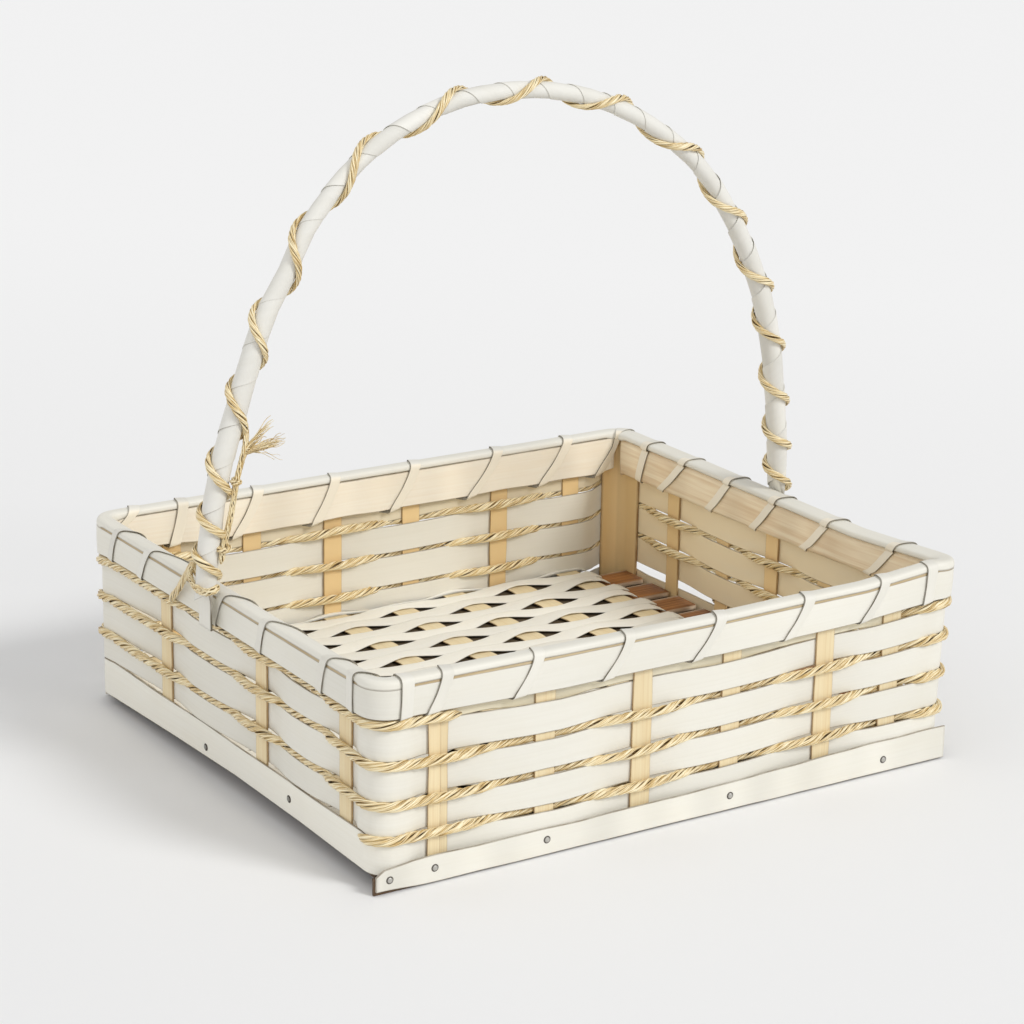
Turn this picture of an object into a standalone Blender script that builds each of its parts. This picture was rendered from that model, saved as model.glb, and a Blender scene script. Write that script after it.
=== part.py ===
"""Cane gift basket, piece by piece, in metres.

Chip bands and twine rows woven on flat cane stakes, a lashed rim, a slatted
floor with a woven mat, and an arch handle wrapped in tape and twine.
+X is the length, +Y the width, and the basket stands on z = 0.
"""

import math

import bmesh
import bpy
import numpy as np

# Gap between pieces that touch
CLEARANCE = 0.0003

# Wall outline, on the middle line of the stakes
HALF_LENGTH = 0.158
HALF_WIDTH = 0.138
CORNER_RADIUS = 0.009
CORNER_STEPS = 4

# Stakes and bent corner posts
STAKE_WIDTH = 0.0105
STAKE_THICKNESS = 0.001
STAKE_BOTTOM = 0.0005
STAKE_IN_RIM = 0.014
POST_SHORT_ARM = 0.003
POST_LONG_ARM = 0.009

# Place of each stake as a share of the side's half length, and the side of the stake
# on which the bands pass: 1 outside, -1 inside
STAKE_SHARES = {
    "front": ((-0.807, -1), (-0.456, 1), (-0.122, -1), (0.196, 1), (0.539, -1), (0.788, 1)),
    "right": ((-0.638, 1), (-0.326, -1), (-0.011, 1), (0.297, -1), (0.623, 1)),
    "back": ((-0.747, 1), (-0.456, -1), (-0.155, 1), (0.146, -1), (0.497, 1), (0.791, -1)),
    "left": ((-0.804, -1), (-0.522, 1), (-0.239, -1), (0.159, 1), (0.460, -1)),
}

# Woven bands and twine rows
BAND_THICKNESS = 0.0009
BAND_HEIGHT = 0.0126
BAND_SLOPE_STEPS = 2
BAND_JOINT = 0.0008
LOWEST_BAND_BOTTOM = 0.0038
TWINE_DIAMETER = 0.0042
TWINE_BEVEL_STEPS = 1
HOLD_MARGIN = 0.0008
ROWS = 4

# Rim: hoops, domed top strip and hidden weaver
HOOP_HEIGHT = 0.0155
HOOP_THICKNESS = 0.002
INNER_STRIP_REACH = 0.004
RIM_WEAVER_HEIGHT = 0.013
DOME_HEIGHT = 0.0034
DOME_SHARES = ((-1, 0), (-1, 0.18), (-0.6, 0.72), (0, 1), (0.6, 0.72), (1, 0.18), (1, 0))

# Lashing: one strip wound round the whole rim, clockwise seen from above
LASHING_WIDTH = 0.0066
LASHING_THICKNESS = 0.0006
LASHING_START_SHARE = -0.851

# Each wrap of the lashing: its side, then where it lies on top and where it next
# crosses under the rim, as shares of that side's half length
LASHING_SHARES = (
    ("front", 0.943, 0.878), ("front", 0.777, 0.641), ("front", 0.500, 0.356), ("front", 0.178, 0.023),
    ("front", -0.135, -0.286), ("front", -0.449, -0.585), ("front", -0.750, -0.868),
    ("left", -0.964, -0.878), ("left", -0.819, -0.649), ("left", -0.449, -0.310),
    ("left", -0.112, 0.074), ("left", 0.442, 0.643), ("left", 0.767, 0.855),
    ("back", -0.730, -0.599), ("back", -0.446, -0.296), ("back", -0.142, 0.005),
    ("back", 0.159, 0.318), ("back", 0.472, 0.609), ("back", 0.763, 0.877),
    ("right", 0.978, 0.836), ("right", 0.765, 0.710), ("right", 0.500, 0.386), ("right", 0.210, 0.104),
    ("right", -0.072, -0.201), ("right", -0.377, -0.563), ("right", -0.739, -0.851),
)

# Bottom: frame, base strips, slats and mat
FRAME_HEIGHT = 0.016
FRAME_THICKNESS = 0.003
BASE_STRIP_DROP = 0.0005
BASE_STRIP_THICKNESS = 0.0012
BASE_STRIP_OVERHANG = 0.002
SLAT_WIDTH = 0.0175
SLAT_THICKNESS = 0.003
SLAT_PITCH = 0.0248
SLAT_EDGE = 0.0006
SLAT_BEARING = 0.0025
SLAT_SIDE_GAP = 0.019
MAT_THICKNESS = 0.0017
MAT_MARGIN = 0.0035
MAT_RIGHT_GAP = 0.022

# Openings of the mat: lens shapes in columns, every other column shifted by half a pitch
LENS_LENGTH = 0.027
LENS_WIDTH = 0.012
LENS_PITCH_X = 0.0365
LENS_PITCH_Y = 0.026
LENS_EDGE = 0.0015
LENS_SHIFT_Y = 0.004
LENS_OUTLINE_SHARES = ((-1, 0), (-0.5, -1), (0.5, -1), (1, 0), (0.5, 1), (-0.5, 1))

# Handle: a rod bent to an arch, with its ends split flat outside the rim
HANDLE_SET_BACK = 0.0056
FOOT_RISE = 0.0013
ARCH_RISE = 0.2202
ARCH_EXPONENT = 2.077
ARCH_STEPS = 34
ROD_RADIUS = 0.004
ROD_SIDES = 8
ROD_SHOULDER = 0.0035
TONGUE_SHOULDER = 0.0015
TONGUE_DROP = 0.0035
TONGUE_WIDTH = 0.0104
TONGUE_THICKNESS = 0.0022
TONGUE_GAP = 0.0004
WRAP_THICKNESS = 0.0012
WRAP_START_SHARE = 0.008

# Handle twine: turns over the arch, and how they crowd towards the feet
HANDLE_TWINE_DIAMETER = 0.004
WINDING_TURNS = 16.65
WINDING_START_SHARE = 0.273
WINDING_CROWDING_SHARES = (7.114, 3.592)
WINDING_LEAN_SHARE = 0.828
WINDING_POINTS_PER_TURN = 12

# Route of the twine's tails from the hoop to the winding: distance out from the hoop's face,
# along the wall from the handle, and above the hoop's bottom
LEFT_TAIL_POINTS = (
    (0.0004, 0.0370, 0.0049), (0.0044, 0.0370, 0.0049), (0.0056, 0.0359, 0.0052),
    (0.0065, 0.0324, 0.0063), (0.0068, 0.0264, 0.0085), (0.0068, 0.0194, 0.0117),
    (0.0060, 0.0134, 0.0153), (0.0040, 0.0095, 0.0185),
)
RIGHT_TAIL_POINTS = (
    (0.0004, 0.0254, 0.0050), (0.0044, 0.0254, 0.0050), (0.0056, 0.0244, 0.0053),
    (0.0064, 0.0214, 0.0067), (0.0074, 0.0169, 0.0093), (0.0085, 0.0114, 0.0127),
    (0.0096, 0.0054, 0.0160), (0.0102, 0.0000, 0.0188),
)

# Finishes: red, green, blue and roughness
WHITE_CHIP = (0.83, 0.79, 0.70, 0.55)
TAN_CANE = (0.66, 0.46, 0.24, 0.50)
HONEY_CANE = (0.72, 0.50, 0.26, 0.42)
GOLD_TWINE = (0.60, 0.42, 0.17, 0.45)
BROWN_LATH = (0.30, 0.17, 0.10, 0.60)
WHITE_TAPE = (0.80, 0.78, 0.74, 0.50)

# Heights and offsets that follow from the sizes above
SLAT_BOTTOM = FRAME_HEIGHT + CLEARANCE
MAT_BOTTOM = SLAT_BOTTOM + SLAT_THICKNESS + CLEARANCE
LOWEST_BAND_TOP = MAT_BOTTOM + MAT_THICKNESS + CLEARANCE
ROW_PITCH = BAND_HEIGHT + TWINE_DIAMETER + 2 * CLEARANCE
BAND_REACH = STAKE_THICKNESS / 2 + CLEARANCE + BAND_THICKNESS / 2
TWINE_REACH = STAKE_THICKNESS / 2 + CLEARANCE + TWINE_DIAMETER / 2
WALL_FACE = BAND_REACH + BAND_THICKNESS / 2 + CLEARANCE
HOOP_FACE = WALL_FACE + HOOP_THICKNESS
TOP_ROW_LEVEL = LOWEST_BAND_TOP + CLEARANCE + TWINE_DIAMETER / 2 + (ROWS - 1) * ROW_PITCH
HOOP_BOTTOM = TOP_ROW_LEVEL + TWINE_DIAMETER / 2 + 2 * CLEARANCE + LASHING_THICKNESS
HOOP_TOP = HOOP_BOTTOM + HOOP_HEIGHT
DOME_BOTTOM = HOOP_TOP + CLEARANCE
STAKE_TOP = HOOP_BOTTOM + STAKE_IN_RIM
FRAME_FACE = -WALL_FACE - FRAME_THICKNESS
ARCH_SPRING_HEIGHT = DOME_BOTTOM + DOME_HEIGHT + FOOT_RISE
ROD_OUT = HOOP_FACE + CLEARANCE + LASHING_THICKNESS + TONGUE_GAP + TONGUE_THICKNESS / 2

# Straight stretches and corner arc of the wall outline
STRAIGHT_X = HALF_LENGTH - CORNER_RADIUS
STRAIGHT_Y = HALF_WIDTH - CORNER_RADIUS
CORNER_ARC = CORNER_RADIUS * math.pi / 2
WALL_RUN = 4 * (STRAIGHT_X + STRAIGHT_Y + CORNER_ARC)

# Start of each side's middle along the outline, and the way the side's coordinate grows
SIDES = {
    "front": (0.0, 1, HALF_LENGTH),
    "right": (STRAIGHT_X + CORNER_ARC + STRAIGHT_Y, 1, HALF_WIDTH),
    "back": (WALL_RUN / 2, -1, HALF_LENGTH),
    "left": (WALL_RUN - STRAIGHT_X - CORNER_ARC - STRAIGHT_Y, -1, HALF_WIDTH),
}
CORNERS = {
    "front_right": (STRAIGHT_X, POST_SHORT_ARM, POST_SHORT_ARM),
    "back_right": (STRAIGHT_X + CORNER_ARC + 2 * STRAIGHT_Y, POST_LONG_ARM, POST_SHORT_ARM),
    "back_left": (WALL_RUN / 2 + STRAIGHT_X, POST_SHORT_ARM, POST_SHORT_ARM),
    "front_left": (WALL_RUN - STRAIGHT_X - CORNER_ARC, POST_SHORT_ARM, POST_SHORT_ARM),
}


def clear_scene():
    """Remove whatever the scene holds."""
    for old in list(bpy.data.objects):
        bpy.data.objects.remove(old, do_unlink=True)


def finish(name, look):
    """Material of one piece, from its colour and roughness."""
    material = bpy.data.materials.new(f"{name}_finish")
    material.use_nodes = True
    shader = material.node_tree.nodes["Principled BSDF"]
    shader.inputs["Base Color"].default_value = (*look[:3], 1)
    shader.inputs["Roughness"].default_value = look[3]
    shader.inputs["Metallic"].default_value = 0
    return material


def place_object(name, data, look):
    """Object of a mesh or curve, with its own material, in the scene."""
    piece = bpy.data.objects.new(name, data)
    data.materials.append(finish(name, look))
    bpy.context.scene.collection.objects.link(piece)
    return piece


def place_shape(name, shape, look, smooth=False):
    """Object of a bmesh, with its faces turned outwards."""
    bmesh.ops.recalc_face_normals(shape, faces=shape.faces)
    mesh = bpy.data.meshes.new(name)
    shape.to_mesh(mesh)
    shape.free()
    if smooth:
        mesh.shade_smooth()
        mesh.set_sharp_from_angle(angle=math.radians(50))
    return place_object(name, mesh, look)


def box(name, low, high, look):
    """Straight-sided piece between two corners."""
    shape = bmesh.new()
    bmesh.ops.create_cube(shape, size=1)
    size = [b - a for a, b in zip(low, high)]
    middle = [(a + b) / 2 for a, b in zip(low, high)]
    bmesh.ops.scale(shape, vec=size, verts=shape.verts)
    bmesh.ops.translate(shape, vec=middle, verts=shape.verts)
    return place_shape(name, shape, look)


def loft(name, loops, look, closed=False, smooth=False):
    """Solid through successive loops of points, joined end to end or capped."""
    shape = bmesh.new()
    rings = [[shape.verts.new(point) for point in loop] for loop in loops]
    pairs = list(zip(rings, rings[1:]))
    if closed:
        pairs.append((rings[-1], rings[0]))
    else:
        shape.faces.new(rings[0])
        shape.faces.new(rings[-1])
    for near, far in pairs:
        for k, corner in enumerate(near):
            after = (k + 1) % len(near)
            shape.faces.new((corner, near[after], far[after], far[k]))
    return place_shape(name, shape, look, smooth)


def cord(name, points, diameter, look):
    """Round tube along a line of points, with filled ends."""
    curve = bpy.data.curves.new(name, "CURVE")
    curve.dimensions = "3D"
    curve.bevel_depth = diameter / 2
    curve.bevel_resolution = TWINE_BEVEL_STEPS
    curve.use_fill_caps = True
    spline = curve.splines.new("POLY")
    spline.points.add(len(points) - 1)
    for knot, point in zip(spline.points, points):
        knot.co = (*point, 1)
    spline.use_smooth = True
    return place_object(name, curve, look)


def wall_place(run):
    """Point and outward direction of the outline, a length along it from the front's middle."""
    run = run % WALL_RUN
    heading = 0.0
    point = np.array((0.0, -HALF_WIDTH))
    straights = (STRAIGHT_X, 2 * STRAIGHT_Y, 2 * STRAIGHT_X, 2 * STRAIGHT_Y, STRAIGHT_X)
    for straight in straights:
        along = min(run, straight)
        point = point + along * np.array((math.cos(heading), math.sin(heading)))
        run -= along
        if run <= 0:
            break
        bend = min(run, CORNER_ARC)
        outward = np.array((math.sin(heading), -math.cos(heading)))
        heading += bend / CORNER_RADIUS
        turned = np.array((math.sin(heading), -math.cos(heading)))
        point = point + CORNER_RADIUS * (turned - outward)
        run -= bend
        if run <= 0:
            break
    return point, np.array((math.sin(heading), -math.cos(heading)))


def wall_point(run, out, level):
    """Point of the wall at a length along it, a distance outwards and a height."""
    point, outward = wall_place(run)
    x, y = point + out * outward
    return x, y, level


def side_run(side, place):
    """Length along the outline of a side's coordinate."""
    start, growth, _ = SIDES[side]
    return start + growth * place


def stake_run(side, share):
    """Length along the outline of a stake's middle."""
    return side_run(side, share * SIDES[side][2])


def corner_runs():
    """Lengths along the outline of the points that round the four corners."""
    steps = range(CORNER_STEPS + 1)
    return [start + k * CORNER_ARC / CORNER_STEPS for start, _, _ in CORNERS.values() for k in steps]


def wall_holds(way, plain_ends=False):
    """Stretches where a woven strip lies flat, as start, end and side of the wall.

    The way is 1 for bands and -1 for twine, which passes each stake on the other side.
    With plain ends the strip stays outside every stake of the left and right walls.
    """
    half = STAKE_WIDTH / 2 + HOLD_MARGIN
    holds = []
    for side, stakes in STAKE_SHARES.items():
        for share, band_side in stakes:
            middle = stake_run(side, share)
            outside = plain_ends and side in ("left", "right")
            holds.append((middle - half, middle + half, 1 if outside else way * band_side))
    for start, arm_before, arm_after in CORNERS.values():
        end = start + CORNER_ARC + arm_after + HOLD_MARGIN
        holds.append((start - arm_before - HOLD_MARGIN, end, 1))
    return sorted((start % WALL_RUN, start % WALL_RUN + end - start, side) for start, end, side in holds)


def weave_side(run, holds):
    """Side of the wall at a length along it, easing from -1 inside to 1 outside."""
    knots = [(end, side) for start, stop, side in holds for end in (start, stop)]
    knots = [(knots[-1][0] - WALL_RUN, knots[-1][1])] + knots + [(knots[0][0] + WALL_RUN, knots[0][1])]
    level = np.interp(run % WALL_RUN, [knot[0] for knot in knots], [knot[1] for knot in knots])
    return (3 * level - level ** 3) / 2


def weave_runs(holds, start, end, slope_steps):
    """Lengths along the outline at which a woven strip bends, from a start to an end."""
    inner = corner_runs()
    for (first, stop, side), (after, _, next_side) in zip(holds, holds[1:] + holds[:1]):
        inner += [first % WALL_RUN, stop % WALL_RUN]
        if side != next_side:
            slope = (after - stop) % WALL_RUN
            inner += [(stop + slope * k / (slope_steps + 1)) % WALL_RUN for k in range(1, slope_steps + 1)]
    laps = [run + lap * WALL_RUN for lap in (-1, 0, 1) for run in inner]
    least = CLEARANCE
    runs = [start]
    for run in sorted(laps):
        if runs[-1] + least < run < end - least:
            runs.append(run)
    return runs + [end]


def woven_band(name, holds, bottom, top, look):
    """Flat strip woven round the wall, its ends meeting behind a stake.

    The top is a height, or a function of the length along the outline.
    """
    joint = stake_run("left", STAKE_SHARES["left"][-1][0])
    runs = weave_runs(holds, joint + BAND_JOINT / 2, joint + WALL_RUN - BAND_JOINT / 2, BAND_SLOPE_STEPS)
    loops = []
    for run in runs:
        middle = BAND_REACH * weave_side(run, holds)
        near = middle - BAND_THICKNESS / 2
        far = middle + BAND_THICKNESS / 2
        upper = top(run) if callable(top) else top
        corners = ((near, bottom), (far, bottom), (far, upper), (near, upper))
        loops.append([wall_point(run, out, level) for out, level in corners])
    loft(name, loops, look)


def lowest_band_top(run):
    """Top edge of the lowest band, raised on the left wall, where no twine row lies above it."""
    raised = LOWEST_BAND_TOP + TWINE_DIAMETER + CLEARANCE
    near_stake, next_stake = [stake_run("left", share) for share, _ in STAKE_SHARES["left"][:2]]
    corner_start = CORNERS["back_left"][0] + CORNER_ARC
    twine_end = near_stake - STAKE_WIDTH - TWINE_DIAMETER
    knots = (corner_start - CORNER_ARC, corner_start, next_stake, twine_end)
    heights = (LOWEST_BAND_TOP, raised, raised, LOWEST_BAND_TOP)
    return np.interp(run % WALL_RUN, knots, heights)


def wall_bands():
    """The four woven bands, numbered from the top, and the weaver hidden in the rim."""
    holds = wall_holds(1)
    for row in range(1, ROWS):
        bottom = LOWEST_BAND_TOP + TWINE_DIAMETER + 2 * CLEARANCE + (ROWS - 1 - row) * ROW_PITCH
        woven_band(f"wall_band_{row}", holds, bottom, bottom + BAND_HEIGHT, WHITE_CHIP)
    outside = wall_holds(1, plain_ends=True)
    woven_band(f"wall_band_{ROWS}", outside, LOWEST_BAND_BOTTOM, lowest_band_top, WHITE_CHIP)
    bottom = HOOP_BOTTOM + CLEARANCE
    woven_band("rim_weaver", wall_holds(-1), bottom, bottom + RIM_WEAVER_HEIGHT, TAN_CANE)


def twine_row(name, level, start, end):
    """Twine woven round the wall between two lengths along the outline."""
    holds = wall_holds(-1)
    runs = weave_runs(holds, start, end, 0)
    points = [wall_point(run, TWINE_REACH * weave_side(run, holds), level) for run in runs]
    cord(name, points, TWINE_DIAMETER, GOLD_TWINE)


def wall_twines():
    """The four rows of twine. The top row is open in front, and the lowest one is in two strands."""
    levels = [TOP_ROW_LEVEL - row * ROW_PITCH for row in range(ROWS)]
    first, last = [stake_run("front", share) for share in (STAKE_SHARES["front"][-1][0],
                                                         STAKE_SHARES["front"][0][0])]
    twine_row("wall_twine_1", levels[0], first - STAKE_WIDTH, last + WALL_RUN + STAKE_WIDTH)
    joint = stake_run("back", STAKE_SHARES["back"][1][0])
    for row in (1, 2):
        start = joint + TWINE_DIAMETER / 2
        twine_row(f"wall_twine_{row + 1}", levels[row], start, start + WALL_RUN - TWINE_DIAMETER)
    left_end = stake_run("left", STAKE_SHARES["left"][0][0]) - STAKE_WIDTH
    right_end = stake_run("right", STAKE_SHARES["right"][3][0]) + STAKE_WIDTH
    twine_row("wall_twine_4_front", levels[3], left_end - WALL_RUN, right_end)
    back_start = stake_run("back", STAKE_SHARES["back"][-1][0]) - STAKE_WIDTH
    back_end = stake_run("back", STAKE_SHARES["back"][0][0]) + STAKE_WIDTH
    twine_row("wall_twine_4_back", levels[3], back_start, back_end)


def stakes():
    """Flat stakes standing in the wall, numbered from the left or from the front."""
    across = STAKE_WIDTH / 2
    through = STAKE_THICKNESS / 2
    for side, places in STAKE_SHARES.items():
        for number, (share, _) in enumerate(places, 1):
            (x, y), outward = wall_place(stake_run(side, share))
            half_x = through if outward[0] ** 2 > outward[1] ** 2 else across
            half_y = across + through - half_x
            low = (x - half_x, y - half_y, STAKE_BOTTOM)
            box(f"stake_{side}_{number}", low, (x + half_x, y + half_y, STAKE_TOP), TAN_CANE)


def corner_posts():
    """Wide cane strips, each folded round a corner."""
    half = STAKE_THICKNESS / 2
    for corner, (start, arm_before, arm_after) in CORNERS.items():
        arc = [start + k * CORNER_ARC / CORNER_STEPS for k in range(CORNER_STEPS + 1)]
        runs = [start - arm_before] + arc + [start + CORNER_ARC + arm_after]
        section = ((-half, STAKE_BOTTOM), (half, STAKE_BOTTOM), (half, STAKE_TOP), (-half, STAKE_TOP))
        loops = [[wall_point(run, out, level) for out, level in section] for run in runs]
        loft(f"corner_post_{corner}", loops, TAN_CANE)


def ring(name, section, look, smooth=False):
    """Closed ring of one section, in distances outwards and heights, round the outline."""
    loops = [[wall_point(run, out, level) for out, level in section] for run in corner_runs()]
    loft(name, loops, look, closed=True, smooth=smooth)


def rim():
    """Outer hoop, four inner strips and the domed strip on top."""
    near = WALL_FACE
    outer = ((near, HOOP_BOTTOM), (HOOP_FACE, HOOP_BOTTOM), (HOOP_FACE, HOOP_TOP), (near, HOOP_TOP))
    ring("rim_hoop_outer", outer, WHITE_CHIP)
    long_x = STRAIGHT_X + INNER_STRIP_REACH
    long_y = STRAIGHT_Y + INNER_STRIP_REACH
    for side, sign in (("front", -1), ("back", 1)):
        edges = sorted((sign * (HALF_WIDTH - near), sign * (HALF_WIDTH - HOOP_FACE)))
        low = (-long_x, edges[0], HOOP_BOTTOM)
        box(f"rim_strip_inner_{side}", low, (long_x, edges[1], HOOP_TOP), WHITE_CHIP)
    for side, sign, look in (("left", -1, WHITE_CHIP), ("right", 1, HONEY_CANE)):
        edges = sorted((sign * (HALF_LENGTH - near), sign * (HALF_LENGTH - HOOP_FACE)))
        low = (edges[0], -long_y, HOOP_BOTTOM)
        box(f"rim_strip_inner_{side}", low, (edges[1], long_y, HOOP_TOP), look)
    dome = [(out * HOOP_FACE, DOME_BOTTOM + rise * DOME_HEIGHT) for out, rise in DOME_SHARES]
    ring("rim_strip_top", dome, WHITE_CHIP, smooth=True)


def offset_outline(points, distance):
    """Closed outline moved outwards by a distance, its corners mitred. The points run clockwise."""
    points = np.array(points)
    before = points - np.roll(points, 1, axis=0)
    after = np.roll(points, -1, axis=0) - points
    normals = []
    for edge in (before, after):
        length = np.linalg.norm(edge, axis=1, keepdims=True)
        normals.append(np.stack((-edge[:, 1], edge[:, 0]), axis=1) / length)
    total = normals[0] + normals[1]
    return points + distance * 2 * total / np.sum(total ** 2, axis=1, keepdims=True)


def lashing_section():
    """Inner and outer outline of the strip round the rim, and its girth from the bottom's middle."""
    body = [(out * HOOP_FACE, DOME_BOTTOM + rise * DOME_HEIGHT) for out, rise in DOME_SHARES[1:-1]]
    body = [(-HOOP_FACE, HOOP_BOTTOM)] + body + [(HOOP_FACE, HOOP_BOTTOM)]
    inner = offset_outline(body, CLEARANCE)
    outer = offset_outline(body, CLEARANCE + LASHING_THICKNESS)
    middle = (inner + outer) / 2
    steps = np.linalg.norm(np.diff(middle, axis=0), axis=1)
    girth = abs(middle[0][0]) + np.concatenate(((0.0,), np.cumsum(steps)))
    return inner, outer, girth


def lashing_knots():
    """Stations of the lashing as length along the outline and place in its section."""
    _, _, girth = lashing_section()
    top = len(girth) // 2
    before = stake_run("right", LASHING_START_SHARE)
    knots = []
    for side, top_share, under_share in LASHING_SHARES:
        crest = stake_run(side, top_share)
        while crest > before:
            crest -= WALL_RUN
        under = stake_run(side, under_share)
        while under > crest:
            under -= WALL_RUN
        for k, length in enumerate(girth):
            end, share = (before, length) if k <= top else (under, 2 * girth[top] - length)
            knots.append((end + (crest - end) * share / girth[top], k))
        before = under
    return knots


def lashing_edges(run, out, level):
    """Both edges of the lashing at a station, held off the rim where it rounds a corner outside."""
    middle, outward = wall_place(run)
    ends = [np.array(wall_point(run + step, out, level)) for step in (-LASHING_WIDTH / 2, LASHING_WIDTH / 2)]
    chord = (ends[0] + ends[1]) / 2
    lift = float((middle + out * outward - chord[:2]) @ outward)
    if out <= 0 or lift <= 0:
        return ends
    return [end + lift * np.append(outward, 0) for end in ends]


def lashing():
    """One strip wound round the rim, down its outer face and up its inner face."""
    inner, outer, _ = lashing_section()
    largest_bend = CORNER_ARC / CORNER_RADIUS / CORNER_STEPS / 2
    knots = lashing_knots()
    stations = []
    for (run, k), (next_run, next_k) in zip(knots, knots[1:]):
        here, there = wall_place(run)[1], wall_place(next_run)[1]
        bend = math.acos(min(1, float(here @ there)))
        steps = max(1, math.ceil(bend / largest_bend))
        for step in range(steps):
            part = step / steps
            profile = [(1 - part) * line[k] + part * line[next_k] for line in (inner, outer)]
            stations.append((run + part * (next_run - run), profile))
    stations.append((knots[-1][0], [line[knots[-1][1]] for line in (inner, outer)]))
    loops = []
    for run, (low, high) in stations:
        near, far = lashing_edges(run, *low), lashing_edges(run, *high)
        loops.append([near[0], near[1], far[1], far[0]])
    loft("rim_lashing", loops, WHITE_CHIP)


def bottom_frame():
    """Lath standing on edge all round inside the wall, and the strips outside front and back."""
    near, far = -WALL_FACE, FRAME_FACE
    ring("bottom_frame", ((near, 0), (near, FRAME_HEIGHT), (far, FRAME_HEIGHT), (far, 0)), BROWN_LATH)
    half = HALF_LENGTH + BASE_STRIP_OVERHANG
    inner = HALF_WIDTH + WALL_FACE
    outer = inner + BASE_STRIP_THICKNESS
    top = FRAME_HEIGHT - BASE_STRIP_DROP
    box("base_strip_front", (-half, -outer, 0), (half, -inner, top), WHITE_CHIP)
    box("base_strip_back", (-half, inner, 0), (half, outer, top), WHITE_CHIP)


def floor_slats():
    """Slats along the length, lying on the frame, numbered from the back."""
    half = HALF_LENGTH - WALL_FACE - FRAME_THICKNESS + SLAT_BEARING
    top = SLAT_BOTTOM + SLAT_THICKNESS
    last = HALF_WIDTH - SLAT_SIDE_GAP
    for number in range(1 + int(2 * last / SLAT_PITCH)):
        middle = last - number * SLAT_PITCH
        low = (-half, middle - SLAT_WIDTH / 2, SLAT_BOTTOM)
        slat = box(f"floor_slat_{number + 1:02d}", low, (half, middle + SLAT_WIDTH / 2, top), BROWN_LATH)
        bevel = slat.modifiers.new("edge", "BEVEL")
        bevel.width = SLAT_EDGE
        bevel.segments = 1


def mat_lenses(left, right, side):
    """Outlines of the mat's openings between its left, right and side edges, column by column."""
    half_x = LENS_LENGTH / 2
    half_y = LENS_WIDTH / 2
    last = right - LENS_EDGE - half_x
    reach = side - LENS_EDGE - half_y
    outlines = []
    for column in range(1 + int((last - left - LENS_EDGE - half_x) / LENS_PITCH_X)):
        x = last - column * LENS_PITCH_X
        shift = LENS_SHIFT_Y + column % 2 * LENS_PITCH_Y / 2
        first = math.ceil((-reach - shift) / LENS_PITCH_Y)
        for row in range(first, 1 + math.floor((reach - shift) / LENS_PITCH_Y)):
            y = shift + row * LENS_PITCH_Y
            outlines.append([(x + a * half_x, y + b * half_y) for a, b in LENS_OUTLINE_SHARES])
    return outlines


def floor_mat():
    """Woven mat lying on the slats, as a thin sheet with its lens openings."""
    left = -HALF_LENGTH + MAT_MARGIN
    right = HALF_LENGTH - MAT_RIGHT_GAP
    side = HALF_WIDTH - MAT_MARGIN
    outlines = [[(left, -side), (right, -side), (right, side), (left, side)]]
    outlines += mat_lenses(left, right, side)
    shape = bmesh.new()
    edges = []
    for outline in outlines:
        corners = [shape.verts.new((x, y, MAT_BOTTOM)) for x, y in outline]
        edges += [shape.edges.new(pair) for pair in zip(corners, corners[1:] + corners[:1])]
    bmesh.ops.triangle_fill(shape, use_beauty=True, use_dissolve=False, edges=edges)
    raised = bmesh.ops.extrude_face_region(shape, geom=shape.faces[:])
    lifted = [part for part in raised["geom"] if isinstance(part, bmesh.types.BMVert)]
    bmesh.ops.translate(shape, vec=(0, 0, MAT_THICKNESS), verts=lifted)
    place_shape("floor_mat", shape, WHITE_CHIP)


class Arch:
    """Middle line of the handle: half a superellipse from the left foot to the right one."""

    def __init__(self):
        angle = np.linspace(0, math.pi, 4001)
        half = HALF_LENGTH + ROD_OUT
        power = 2 / ARCH_EXPONENT
        across = -half * np.sign(np.cos(angle)) * np.abs(np.cos(angle)) ** power
        up = ARCH_SPRING_HEIGHT + ARCH_RISE * np.abs(np.sin(angle)) ** power
        self.points = np.stack((across, np.full_like(across, HANDLE_SET_BACK), up), axis=1)
        steps = np.linalg.norm(np.diff(self.points, axis=0), axis=1)
        self.lengths = np.concatenate(((0.0,), np.cumsum(steps)))
        self.length = self.lengths[-1]

    def at(self, share):
        """Point at a share of the length, with the directions out of the arch and to the front."""
        place = share * self.length
        window = self.length / len(self.points)
        ends = [self.sample(place + step) for step in (-window, window)]
        along = (ends[1] - ends[0]) / np.linalg.norm(ends[1] - ends[0])
        front = np.array((0.0, -1.0, 0.0))
        return self.sample(place), np.cross(front, along), front

    def sample(self, place):
        """Point at a length along the line, kept between its ends."""
        return np.array([np.interp(place, self.lengths, self.points[:, axis]) for axis in range(3)])

    def circle(self, share, radius):
        """Loop of points round the line at a share of its length."""
        middle, out, front = self.at(share)
        turns = [2 * math.pi * k / ROD_SIDES for k in range(ROD_SIDES)]
        return [middle + radius * (math.cos(turn) * out + math.sin(turn) * front) for turn in turns]


def arch_shares(first):
    """Shares of the arch from just above one foot to just above the other."""
    return [first + (1 - 2 * first) * k / ARCH_STEPS for k in range(ARCH_STEPS + 1)]


def tongue_loop(side, height):
    """Flat section of the rod's split end outside the rim. The side is -1 left or 1 right."""
    middle = np.array((side * (HALF_LENGTH + ROD_OUT), HANDLE_SET_BACK, height))
    loop = []
    for k in range(ROD_SIDES):
        turn = 2 * math.pi * k / ROD_SIDES
        thick = round(math.cos(turn) * math.sqrt(2)) * TONGUE_THICKNESS / 2
        wide = round(math.sin(turn) * math.sqrt(2)) * TONGUE_WIDTH / 2
        loop.append(middle + np.array((side * thick, -wide, 0.0)))
    return loop


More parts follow.
